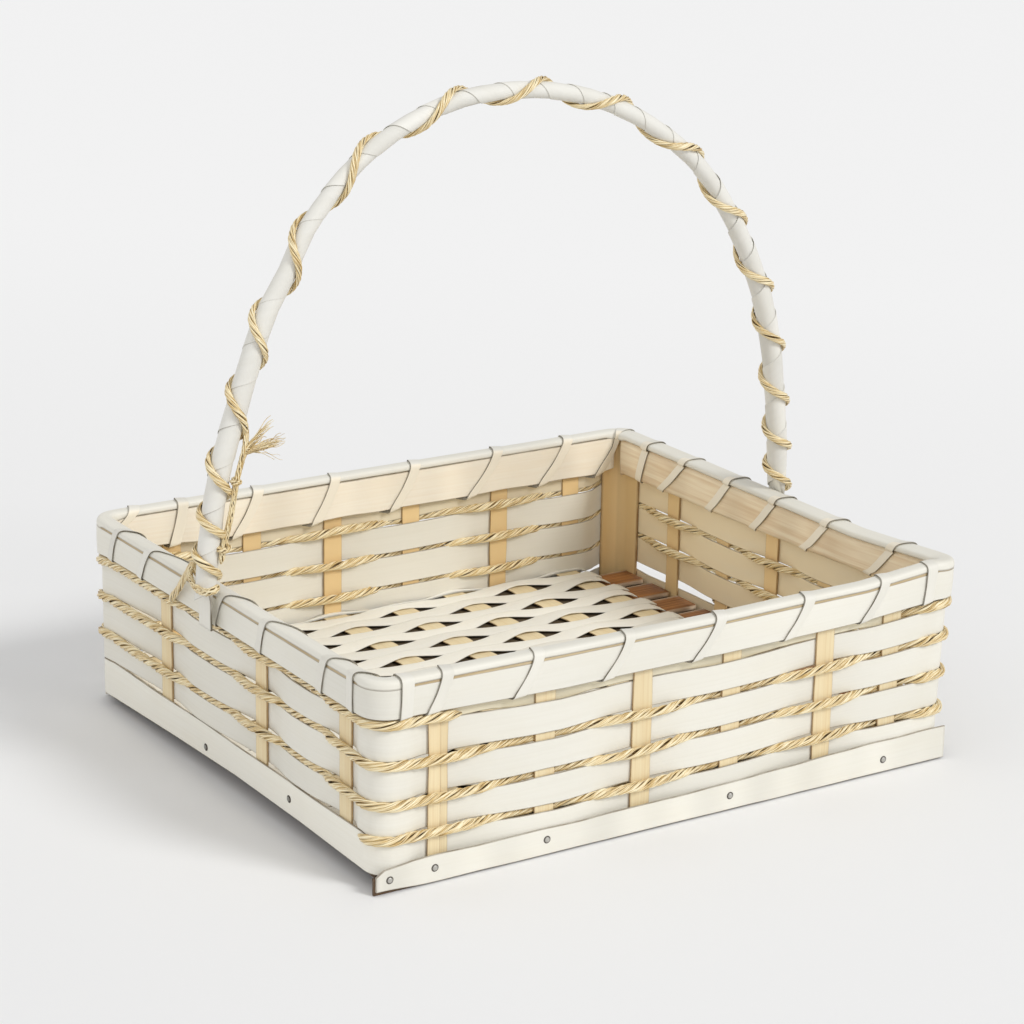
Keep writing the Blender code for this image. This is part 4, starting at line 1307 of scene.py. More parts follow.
@dataclass
class Rim:
    """Outer hoop, core, inner strips, domed top strip and the lashing round them."""

    weave: Weave
    finishes: Finishes
    near: float = 0.002  # Distance of the strips' faces from the outline.
    far: float = 0.004  # Distance of their outer faces.
    bottom: float = 0.0795
    hoop_top: float = 0.0943
    inner_top: float = 0.0949
    dome_bottom: float = 0.0954  # Height of the top strip's edges.
    dome_rise: float = 0.0032
    dome_power: float = 0.6  # Power of its section's superellipse, smaller for a flatter top.
    bamboo_drop: float = 0.0048  # How much lower the right inner strip's edge is.
    bamboo_bulge: float = 0.0016  # How far that strip bulges inwards.
    right_lap: float = 0.0024  # How much further inwards the top strip reaches on the right.
    lashing_width: float = 0.0066
    lashing_thickness: float = 0.0005

    # Each wrap: where it lies on top and where it next crosses under the rim, as shares of
    # its side's half length, clockwise seen from above.
    WRAPS = {
        FRONT: ((0.914, 0.899), (0.742, 0.651), (0.461, 0.368), (0.142, 0.034), (-0.179, -0.275),
                (-0.489, -0.571), (-0.789, -0.847), (-0.92, -0.926)),
        LEFT: ((-0.88, -0.877), (-0.732, -0.672), (-0.328, -0.262), (-0.04, 0.057), (0.504, 0.62),
               (0.767, 0.855)),
        BACK: ((-0.875, -0.753), (-0.713, -0.538), (-0.437, -0.241), (-0.151, 0.053), (0.156, 0.353),
               (0.483, 0.64), (0.768, 0.877)),
        RIGHT: ((0.978, 0.836), (0.765, 0.71), (0.5, 0.386), (0.21, 0.104), (-0.072, -0.201),
                (-0.377, -0.563), (-0.739, -0.851)),
    }
    START_SHARE = -0.851
    # How far a wrap has drifted along the rim at shares of the way down from its crest.
    DRIFT = ((0.0, 0.0), (0.22, 0.08), (0.4, 0.25), (0.6, 0.5), (0.81, 0.85), (1.0, 1.0))
    LEFT_INNER_DRIFT = ((0.0, 0.0), (0.2, 0.5), (0.81, 0.85), (1.0, 1.0))
    LEFT_OUTER_DRIFT = ((0.0, 0.0), (0.2, 0.35), (0.4, 0.6), (0.81, 0.9), (1.0, 1.0))

    def build(self) -> None:
        """Make every piece of the rim."""
        self._hoop()
        self._core()
        self._inner_strips()
        self._top_strip()
        self._lashing()

    def _stations(self) -> Array:
        """Lengths along the whole outline, without the repeated last one."""
        return np.linspace(0, self.weave.outline.total, 620, endpoint=False)

    def _ring(self, name: str, out: Array, level: Array, edge: Array, seed: int) -> MeshBuilder:
        """Closed ring of a section that may change along the outline.

        Args:
            name: Name of the piece.
            out: Distances outwards, one row a station or one for all.
            level: Heights, likewise.
            edge: Edge values of the section's points.
            seed: Seed of its shade.

        Returns:
            The mesh.
        """
        run = self._stations()
        total = self.weave.outline.total
        points = self.weave.outline.points(run[:, None], out, level)
        section = np.stack((np.broadcast_to(out, points.shape[:2])[0],
                            np.broadcast_to(level, points.shape[:2])[0]), axis=1)
        girth = lengths_along(np.concatenate((section, section[:1])))
        builder = MeshBuilder(name)
        tone = 0.5 * ripple(run, seed, total, (2, 9))
        builder.add(points, np.append(run, total), girth, edge=edge, tone=tone[:, None], closed=True)
        return builder

    def _hoop(self) -> None:
        """Flat hoop outside the wall."""
        run = self._stations()
        total = self.weave.outline.total
        low = self.bottom + 0.0002 * ripple(run, 11, total, (3, 12))
        high = self.hoop_top + 0.0002 * ripple(run, 12, total, (3, 12))
        across, through, edge, _ = Ribbon(self.far - self.near, crown=0.00025).section(low, high)
        out = (self.near + self.far) / 2 + through + 0.00012 * ripple(run, 13, total, (5, 15))[:, None]
        hoop = self._ring("rim_hoop_outer_strip", out, across, edge, 14)
        hoop.build(self.finishes.white, "white_chip", ("rim_hoop_outer",))

    def _core(self) -> None:
        """Cane core that shows as a tan line between the hoop and the top strip."""
        reach = self.far - 0.00015
        out = np.array((-0.0026, reach, reach, -0.0026))
        level = np.array((self.hoop_top - 0.003, self.hoop_top - 0.003, 0.0961, 0.0961))
        core = self._ring("rim_core", out, level, np.zeros(4), 15)
        core.build(self.finishes.core, "tan_cane")

    def _inner_strips(self) -> None:
        """Strips inside the wall: flat ones, and a half-round bamboo one on the right."""
        outline = self.weave.outline
        for side in Side:
            half = outline.reach(side) + 0.003
            centre = outline.run(side, 0.0)
            run = np.linspace(centre - half, centre + half, 90)
            middle = -(self.near + self.far) / 2
            builder = MeshBuilder(f"rim_strip_inner_{side.value}_strip")
            if side is RIGHT:
                angle = circle(30)
                low, high = self.bottom - self.bamboo_drop, self.inner_top
                level = (low + high) / 2 + (high - low) / 2 * signed_power(np.cos(angle), 0.5)
                bulge = np.where(np.sin(angle) > 0, self.bamboo_bulge + 0.001, 0.001)
                out = middle - bulge * signed_power(np.sin(angle), 0.7)
                points = outline.points(run[:, None], out, level)
                girth = lengths_along(np.stack((np.append(out, out[0]), np.append(level, level[0])), axis=1))
                builder.add(points, run, girth, edge=0.0, tone=ripple(run, 21, 0.3)[:, None])
                material, slot = self.finishes.honey, "honey_bamboo"
            else:
                low = self.bottom + 0.0002 * ripple(run, 16, 0.4)
                across, through, edge, girth = Ribbon(0.002, crown=-0.0002).section(low, self.inner_top)
                points = outline.points(run[:, None], middle + through, across)
                builder.add(points, run, girth, edge=edge, tone=ripple(run, 22, 0.3)[:, None])
                material, slot = self.finishes.cream, "white_chip"
            builder.build(material, slot, (f"rim_strip_inner_{side.value}",))

    def _top_strip(self) -> None:
        """Strip bent over the rim: half a superellipse with a flat underside."""
        out, level = self._dome(self.far + 0.0001, self.dome_bottom, self.dome_rise)
        edge = np.zeros(len(out))
        edge[[0, -1]] = (0.8, 0.35)
        run = self._stations()
        outline = self.weave.outline
        wave = 0.00015 * ripple(run, 17, outline.total, (4, 14))
        crest = self.dome_bottom + self.dome_rise
        middles = np.array(outline.corner_starts()) + outline.arc / 2
        from_corner = outline.apart(run[:, None], middles).min(axis=1)
        fold = 1 + 0.35 * smooth_step((outline.arc / 2 + 0.004 - from_corner) / 0.004)
        level = crest - (crest - level[None, :]) * fold[:, None]
        lap = self.right_lap * outline.beside(run, RIGHT)
        out = out - lap[:, None] * smooth_step(-out / self.far)
        dome = self._ring("rim_strip_top_dome", out, level + wave[:, None], edge, 18)
        dome.build(self.finishes.white, "white_chip", ("rim_strip_top",))

    def _dome(self, half: float, bottom: float, rise: float) -> tuple[Array, Array]:
        """Distances and heights of the top strip's section, from its outer edge to its inner one."""
        angle = np.linspace(0, np.pi, 33)
        out = half * signed_power(np.cos(angle), self.dome_power)
        return out, bottom + rise * np.abs(np.sin(angle)) ** self.dome_power

    def _contour(self) -> tuple[Array, Array, Array, Array, Array]:
        """Line round the rim's section that the lashing follows, softly rounded.

        It starts below the rim's middle, goes up the inner side, over the dome and down
        the outer side. Its corners are rounded by a running mean over 1.3 mm.

        Returns:
            Lengths along it, distances outwards, heights, and the two parts of its
            outward direction.
        """
        side = self.far + 0.0003
        under = self.bottom - 0.0003
        dome = np.stack(self._dome(side, self.dome_bottom, self.dome_rise + 0.0002), axis=1)[::-1]
        line = np.concatenate((((0, under), (-side, under)), dome, ((side, under), (0, under))))
        lengths = lengths_along(line)
        girth = np.linspace(0, lengths[-1], 400)
        fine = np.stack([np.interp(girth, lengths, line[:, k]) for k in range(2)], axis=1)
        window = max(3, int(0.0013 / girth[1])) | 1
        pad = window // 2
        wrapped = np.concatenate((fine[-pad - 1:-1], fine, fine[1:pad + 1]))
        kernel = np.ones(window) / window
        smooth = np.stack([np.convolve(wrapped[:, k], kernel, "valid") for k in range(2)], axis=1)
        tangent = unit(np.gradient(smooth, axis=0))
        return girth, smooth[:, 0], smooth[:, 1], -tangent[:, 1], tangent[:, 0]

    def _lashing(self) -> None:
        """One strip wound round the whole rim.

        Its place along the outline falls from each crossing under the rim to the next
        crest and on to the next crossing, as the tables of drift say, smoothed over 8 mm
        of its own length. Its raised edge is the one ahead of it on the front and right
        walls and the one behind it on the others, and its dark line is painted shadow.
        On the rim's inner side it takes its cream inner colour as painted warm shade.
        """
        outline = self.weave.outline
        girth, out, level, normal_out, normal_up = self._contour()
        full = girth[-1]
        before = outline.run(RIGHT, self.START_SHARE * outline.half_width)
        knots, runs = [0.0], [before]
        wraps = [(side, *shares) for side, rows in self.WRAPS.items() for shares in rows]
        for side, top_share, under_share in wraps:
            half = outline.half(side)
            left = side is LEFT
            start, last = knots[-1], runs[-1]
            crest = outline.run(side, top_share * half)
            crest -= math.ceil((crest - last) / outline.total) * outline.total
            under = outline.run(side, under_share * half)
            under -= math.ceil((under - crest) / outline.total) * outline.total
            for fall, drift in (self.LEFT_INNER_DRIFT if left else self.DRIFT)[-2::-1]:
                knots.append(start + (1 - fall) * full / 2)
                runs.append(crest + drift * (last - crest))
            for fall, drift in (self.LEFT_OUTER_DRIFT if left else self.DRIFT)[1:]:
                knots.append(start + (1 + fall) * full / 2)
                runs.append(crest + drift * (under - crest))
        path = np.arange(0, knots[-1], 0.0007)
        run = running_mean(np.interp(path, knots, runs), 11)
        place = path % full
        base_out, base_up = np.interp(place, girth, out), np.interp(place, girth, level)
        way = np.stack((np.interp(place, girth, normal_out), np.interp(place, girth, normal_up)), axis=1)
        base_out, base_up = self._over_bamboo(run, base_out, base_up)
        half = self.lashing_width / 2 + 0.0002 * ripple(path, 19, knots[-1], (20, 60))
        ribbon = Ribbon(self.lashing_thickness, crown=0.00006, line=0.0006)
        across, through, edge, across_girth = ribbon.section(-half, half)
        share = np.clip(across / self.lashing_width + 0.5, 0, 1)
        far_walls = np.maximum(outline.beside(run, LEFT), outline.beside(run, BACK))[:, None]
        # Painted shadow: only the raised edge keeps the dark line.
        edge = edge * np.where(share < 0.5, 1 - far_walls, far_walls)
        covered = share + far_walls * (1 - 2 * share)
        lift = (through + self.lashing_thickness / 2) * (1 - 0.7 * covered) + 0.0004 * (0.45 - covered)
        # Painted warm shade: the lashing takes the cream inner colour on the rim's inner side.
        inner = smooth_step(-4 * base_out / self.far - 3)[:, None]
        points = outline.points(run[:, None] + across, base_out[:, None] + lift * way[:, :1],
                                base_up[:, None] + lift * way[:, 1:])
        tone = ripple(path, 20, knots[-1], (10, 30))
        make_piece("rim_lashing_strip", (self.finishes.lashing, "white_chip", ("rim_lashing",)), points, path,
                   across_girth, edge=edge, tone=tone[:, None], inner=inner)

    def _over_bamboo(self, run: Array, out: Array, level: Array) -> tuple[Array, Array]:
        """Lashing's distances and heights, moved off the deeper strip inside the right wall."""
        inside = self.weave.outline.beside(run, RIGHT) * smooth_step(-out / self.far)
        up = np.clip((level - self.bottom) / (self.inner_top - self.bottom), 0, 1)
        lower = level - inside * self.bamboo_drop * (1 - smooth_step(up))
        bulge = self.bamboo_bulge * np.sin(np.pi * up) ** 0.5
        lap = self.right_lap * smooth_step((level - self.inner_top + 0.001) / 0.001)
        return out - inside * np.maximum(bulge, lap), lower


@dataclass
class Bottom:
    """Foot laths, base strips, nails, slats and the woven mat."""

    outline: Outline
    strips: WallStrips
    finishes: Finishes
    strip_out: float = 0.0026  # Distance of the base strips' middle from the wall's outline.
    strip_thickness: float = 0.0012
    strip_bottom: float = 0.0008
    strip_reach: float = 0.16  # Half the front strip's length.
    # Distances of the foot laths' faces from the outline, both inwards.
    lath_out: tuple[float, float] = (0.002, 0.005)
    lath_top: float = 0.016
    slat_levels: tuple[float, float] = (0.0163, 0.0193)
    mat_left: float = -0.1545
    mat_right: float = 0.136
    mat_side: float = 0.1345  # Half the mat's width.
    column_pitch: float = 0.0365  # Distance between its cross strips.
    row_pitch: float = 0.013  # Distance between its long strips.
    last_column: float = 0.121  # X of the rightmost cross strip.
    row_shift: float = 0.004  # Y of one row of openings.
    lens_half: tuple[float, float] = (0.019, 0.0057)  # Half the length and half the width of an opening.
    lens_power: float = 1.45  # Power of an opening's outline, 1 for straight sides.

    # X and height of the front strip's upper edge.
    STRIP_TOP = ((-0.16, 0.0092), (-0.156, 0.0117), (-0.141, 0.0134), (-0.065, 0.0132), (0.022, 0.0139),
                 (0.11, 0.0168), (0.16, 0.0172))
    FRONT_NAILS = ((-0.1535, 0.0068), (-0.1305, 0.0075), (-0.0716, 0.008), (0.0304, 0.0078),
                   (0.1219, 0.0072))
    LEFT_NAILS = ((0.0205, 0.0144), (-0.0616, 0.0175))
    BACK_NAILS = ((-0.128, 0.0075), (-0.042, 0.0078), (0.047, 0.0074), (0.124, 0.0077))
    RIGHT_NAILS = ((-0.052, 0.0135), (0.034, 0.014))

    def build(self) -> None:
        """Make every piece of the bottom."""
        self._foot_laths()
        self._base_strips()
        self._nails()
        self._slats()
        self._painted_shadow_sheet()
        self._mat_stakes()
        self._mat()

    def _straight(self, builder: MeshBuilder, ends: tuple[Array, Array], edges: tuple[Array, Array],
                  ribbon: Ribbon, tone: Array | float = 0.0) -> None:
        """Add a strip on edge along a straight line.

        Args:
            builder: Mesh that it goes into.
            ends: Its two end points, the first two coordinates of each.
            edges: Heights of its lower and upper edge, one value or one a station.
            ribbon: Its section.
            tone: Its shade, one value or one a station.
        """
        start, end = (np.array(point, float) for point in ends)
        share = np.linspace(0, 1, 160)
        along = unit(end - start)
        aside = np.array((along[1], -along[0]))
        low, high = (np.broadcast_to(edge, share.shape) for edge in edges)
        across, through, edge, girth = ribbon.section(low, high)
        flat = start + share[:, None] * (end - start)
        points = joined(flat[:, :1] + through * aside[0], flat[:, 1:] + through * aside[1], across)
        place = share * np.linalg.norm(end - start)
        builder.add(points, place, girth, edge=edge, tone=np.broadcast_to(tone, share.shape)[:, None])

    def _foot_laths(self) -> None:
        """Brown laths inside the foot of the wall, and the thin ones under the base strips.

        The laths of the left and right walls are raised with the lowest band. Their dark grey-brown,
        and the thin laths under the base strips, are partly painted contact shadow.
        """
        near, far = self.lath_out
        thick = far - near
        middle = (near + far) / 2
        half_x, half_y = self.outline.half_length - middle, self.outline.half_width - middle
        inner_y = self.outline.half_width - far
        y = np.linspace(-inner_y, inner_y, 160)
        builder = MeshBuilder("foot_laths")
        ribbon = Ribbon(thick, rounding=0.0003)
        long_end = self.outline.straight_x + 0.004
        for sign in (-1, 1):
            ends = ((-long_end, sign * half_y), (long_end, sign * half_y))
            self._straight(builder, ends, (0.0002, self.lath_top), ribbon)
            side = LEFT if sign < 0 else RIGHT
            low = self.outline.along_all(self.outline.run(side, y), self.strips.LOWEST_BOTTOM) - 0.0034
            ends = ((sign * half_x, -inner_y), (sign * half_x, inner_y))
            self._straight(builder, ends, (low, self.lath_top), ribbon)
            # Partly painted shadow: the thin dark lath under each base strip shows as a dark line along the
            # strip's foot.
            face = sign * (self.outline.half_width + self.strip_out - 0.00135)
            left_end = self.strip_reach + 0.0007 if sign < 0 else long_end
            ends = ((-left_end, face), (self.strip_reach - 0.001, face))
            self._straight(builder, ends, (0.0002, 0.0085), Ribbon(0.0014))
        builder.build(self.finishes.foot_lath, "brown_lath", ("bottom_frame",))

    def _base_strips(self) -> None:
        """Strips outside the foot of the front and back walls, with square cut ends."""
        x = np.linspace(-self.strip_reach, self.strip_reach, 160)
        top = np.interp(x, *zip(*self.STRIP_TOP)) + 0.0002 * ripple(x, 33, 0.4)
        end_rise = 0.0012 * smooth_step((-0.135 - x) / 0.025)
        low = self.strip_bottom + 0.0001 * ripple(x, 31, 0.4) + end_rise
        face = self.outline.half_width + self.strip_out
        tone = ripple(x, 35, 0.4)
        ribbon = Ribbon(self.strip_thickness, crown=0.0001)
        front = MeshBuilder("base_strip_front_strip")
        ends = ((-self.strip_reach, -face), (self.strip_reach, -face))
        self._straight(front, ends, (low, top), ribbon, tone)
        front.build(self.finishes.white, "white_chip", ("base_strip_front",))
        back = MeshBuilder("base_strip_back_strip")
        ends = ((-self.outline.straight_x - 0.006, face), (self.strip_reach, face))
        self._straight(back, ends, (self.strip_bottom, 0.0155), ribbon, tone)
        back.build(self.finishes.white, "white_chip", ("base_strip_back",))

    def _nails(self) -> None:
        """Small round nail heads in pressed rings: a profile turned about its axis."""
        face = self.outline.half_width + self.strip_out + self.strip_thickness / 2
        end_face = self.outline.half_length + self.strips.reach + self.strips.thickness / 2
        spots = [((x, -face, z), (0, -1, 0)) for x, z in self.FRONT_NAILS]
        spots += [((x, face, z), (0, 1, 0)) for x, z in self.BACK_NAILS]
        spots += [((-end_face, y, z), (-1, 0, 0)) for y, z in self.LEFT_NAILS]
        spots += [((end_face, y, z), (1, 0, 0)) for y, z in self.RIGHT_NAILS]
        radius = np.array((0.0018, 0.00182, 0.0016, 0.00145, 0.00135, 0.0012, 0.0008, 0.00005))
        rise = np.array((-0.0004, 0.00018, 0.00028, 0.00016, 0.00038, 0.00055, 0.0007, 0.00075))
        # Painted shade in the pressed ring round each head.
        dark = np.array((0.7, 0.7, 0.9, 1.0, 0.7, 0.1, 0.0, 0.0))
        angle = circle(24)
        builder = MeshBuilder("base_nails")
        for spot, way in spots:
            # Painted shade: the heads on the left and right walls are darker all over, for the shaded left
            # wall.
            end_wall_shade = 0.45 if way[0] else 0.0
            flat = np.cross(way, (0, 0, 1))
            ring = around_ring(angle, flat, UP)
            points = np.array(spot) + radius[:, None, None] * ring + rise[:, None, None] * np.array(way)
            builder.add(points, rise, np.append(angle, 2 * np.pi) * 0.001,
                        edge=np.minimum(dark + end_wall_shade, 1)[:, None])
        builder.build(self.finishes.steel, "brown_lath")

    def _slats(self) -> None:
        """Laths along the basket under the mat, read from the frame."""
        low_z, high_z = self.slat_levels
        for number in range(1, 11):
            node = f"floor_slat_{number:02d}"
            low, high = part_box(node)
            x = np.linspace(low.x, max(high.x, 0.156), 70)
            stray = 0.0004 * ripple(x, 400 + number, 0.5, (1, 6))
            ribbon = Ribbon(high_z - low_z, rounding=0.0004, line=0.003)
            across, through, edge, girth = ribbon.section(low.y + stray, high.y + stray)
            z = (low_z + high_z) / 2 + through
            points = joined(x[:, None], across, z)
            # Random tone from slat to slat, and painted shade: it falls over the last 20 mm towards the right
            # wall, which shades the slats' ends.
            tone = np.clip(0.8 * math.sin(1.7 * number) - 3 * smooth_step((x - 0.14) / 0.02), -4, 1)
            # Painted light: the slats' side faces take the lath's pale line colour, so their shaded sides
            # read as pale gaps between the slats.
            sides = edge * np.isin(np.arange(14), (0, 1, 2, 7, 8, 9, 10))
            make_piece(f"{node}_lath", (self.finishes.lath, "brown_lath", (node,)), points, x + number, girth,
                       edge=sides, tone=tone[:, None])

    def _painted_shadow_sheet(self) -> None:
        """Dark sheet between the slats and the mat, seen through the openings: painted shadow for the shade
        under the mat.
        """
        x = np.linspace(self.mat_left + 0.002, self.mat_right - 0.006, 40)
        across, through, _, girth = Ribbon(0.0003).section(-self.mat_side + 0.003, self.mat_side - 0.003)
        z = 0.0197 + 0.0001 * ripple(x, 37, 0.4)[:, None] + through
        make_piece("floor_mat_painted_shadow_sheet", (self.finishes.shade, "white_chip"),
                   joined(x[:, None], across, z), x, girth)

    def _columns(self) -> Array:
        """X of the cross strips, the rightmost first."""
        count = 1 + int((self.last_column - self.mat_left) / self.column_pitch)
        return self.last_column - self.column_pitch * np.arange(count)

    def _mat_stakes(self) -> None:
        """Tan strips across the basket, which rise into the mat's openings."""
        y = np.linspace(-self.mat_side + 0.0005, self.mat_side + 0.001, 220)
        builder = MeshBuilder("floor_mat_cross_strips")
        for number, x in enumerate(self._columns()):
            half = 0.0066 + 0.0003 * ripple(y, 430 + number, 0.4)
            across, through, edge, girth = Ribbon(0.0006).section(x - half, x + half)
            turn = np.pi * (y - self.row_shift - number * self.row_pitch) / (2 * self.row_pitch)
            z = 0.0204 + 0.0011 * np.cos(turn)[:, None] ** 2 + through
            builder.add(joined(across, y[:, None], z), y, girth, edge=edge, tone=0.7 * math.sin(3.1 * number))
        builder.build(self.finishes.tan, "tan_cane")

    def _boundary(self, x: Array, row: int) -> Array:
        """Half width of the openings on one boundary between long strips.

        An opening is a lens: its half width is its greatest one times one less a power
        of the distance from its middle, as a share of its half length. Openings lie on
        every other cross strip, shifted by one from boundary to boundary.

        Args:
            x: Places along the mat.
            row: Number of the boundary, 0 at the row shift.

        Returns:
            The half width, 0 between the openings.
        """
        half_length, half_width = self.lens_half
        width = np.zeros_like(x)
        for column, middle in enumerate(self._columns()):
            if (column + row) % 2 == 0:
                share = np.minimum(np.abs(x - middle) / half_length, 1)
                size = 1 + 0.12 * math.sin(2.7 * row + 1.9 * column)
                width = np.maximum(width, size * half_width * (1 - share ** self.lens_power))
        return width

    def _mat(self) -> None:
        """Long white strips that arch over the cross strips and part into openings."""
        x = np.linspace(self.mat_left, self.mat_right, 330)
        first = math.ceil((-self.mat_side - self.row_shift) / self.row_pitch)
        last = math.floor((self.mat_side - self.row_shift) / self.row_pitch)
        arch = np.max([np.cos(np.clip((x - c) / self.column_pitch, -0.5, 0.5) * np.pi) ** 2
                       for c in self._columns()], axis=0)
        builder = MeshBuilder("floor_mat_weave")
        for row in range(first, last + 1):
            start = self.row_shift + row * self.row_pitch if row > first else -self.mat_side
            end = self.row_shift + (row + 1) * self.row_pitch if row < last else self.mat_side
            low = start + self._boundary(x, row) * (1.0 if row > first else 0.4)
            high = end - self._boundary(x, row + 1) * (1.0 if row < last else 0.4)
            self._mat_strip(builder, x, (low, high), arch, row)
        builder.build(self.finishes.mat, "white_chip", ("floor_mat",))

    def _mat_strip(self, builder: MeshBuilder, x: Array, edges: tuple[Array, Array], arch: Array,
                   row: int) -> None:
        """Add one long strip of the mat, folded down at its right end.

        Args:
            builder: Mesh that it goes into.
            x: Places along it.
            edges: Y of its near and far edge.
            arch: Share of its rise over the cross strips.
            row: Number of the strip.
        """
        end = self.mat_right - 0.0012 + 0.0012 * math.sin(2.9 * row)
        fold = smooth_step((x - end + 0.004) / 0.004)
        low, high = edges[0] + 0.00002, edges[1] - 0.00002
        across, through, edge, girth = Ribbon(0.0005, crown=0.00025).section(low, high)
        rise = 0.0214 + 0.0009 * arch + 0.0002 * ripple(x, 460 + row, 0.4) - 0.0012 * fold
        place = np.minimum(x, end) + 0.0004 * fold
        builder.add(joined(place[:, None], across, rise[:, None] + through), place, girth + 0.05 * row,
                    edge=0.4 * edge, tone=0.8 * math.sin(2.3 * row))


class Arch:
    """Middle line of the handle, bent by hand and so not quite even."""

    # X and height of points that it passes, from the left foot to the right one.
    COURSE = (
        (-0.1666, 0.1), (-0.1653, 0.1135), (-0.1593, 0.1511), (-0.148, 0.1876), (-0.135, 0.2238),
        (-0.1223, 0.245), (-0.1125, 0.2636), (-0.09, 0.2885), (-0.0625, 0.306), (-0.0311, 0.3165),
        (0.0076, 0.3182), (0.0476, 0.3099), (0.0845, 0.2912), (0.1128, 0.267), (0.1344, 0.2351),
        (0.1484, 0.2053), (0.1561, 0.1783), (0.161, 0.146), (0.1637, 0.1189), (0.1646, 0.1),
    )

    def __init__(self, set_back: float = 0.0056) -> None:
        """Work out the line in the plane at a given Y."""
        self.line = smooth_path([(x, set_back, z) for x, z in self.COURSE], 0.0005)
        self.lengths = lengths_along(self.line)
        self.length = float(self.lengths[-1])
        self.front = np.array((0.0, -1.0, 0.0))

    def at(self, place: Array) -> tuple[Array, Array]:
        """Points and outward directions.

        Args:
            place: Lengths along the line, in an array of any shape.

        Returns:
            Points and directions out of the arch, one for each length.
        """
        place = np.asarray(place)

        def point(where: Array) -> Array:
            """Points at lengths along the line."""
            return np.stack([np.interp(where, self.lengths, self.line[:, k]) for k in range(3)], axis=-1)

        held = np.clip(place, 0.0006, self.length - 0.0006)
        along = unit(point(held + 0.0005) - point(held - 0.0005))
        beyond = (place - np.clip(place, 0, self.length))[..., None]
        return point(place) + beyond * along, np.cross(self.front, along)

    def surface(self, place: Array, angle: Array, radius: Array) -> Array:
        """Points at an angle round the line, from its outward side to its front, and a distance."""
        middle, out = self.at(place)
        return middle + np.asarray(radius)[..., None] * around_ring(angle, out, self.front)


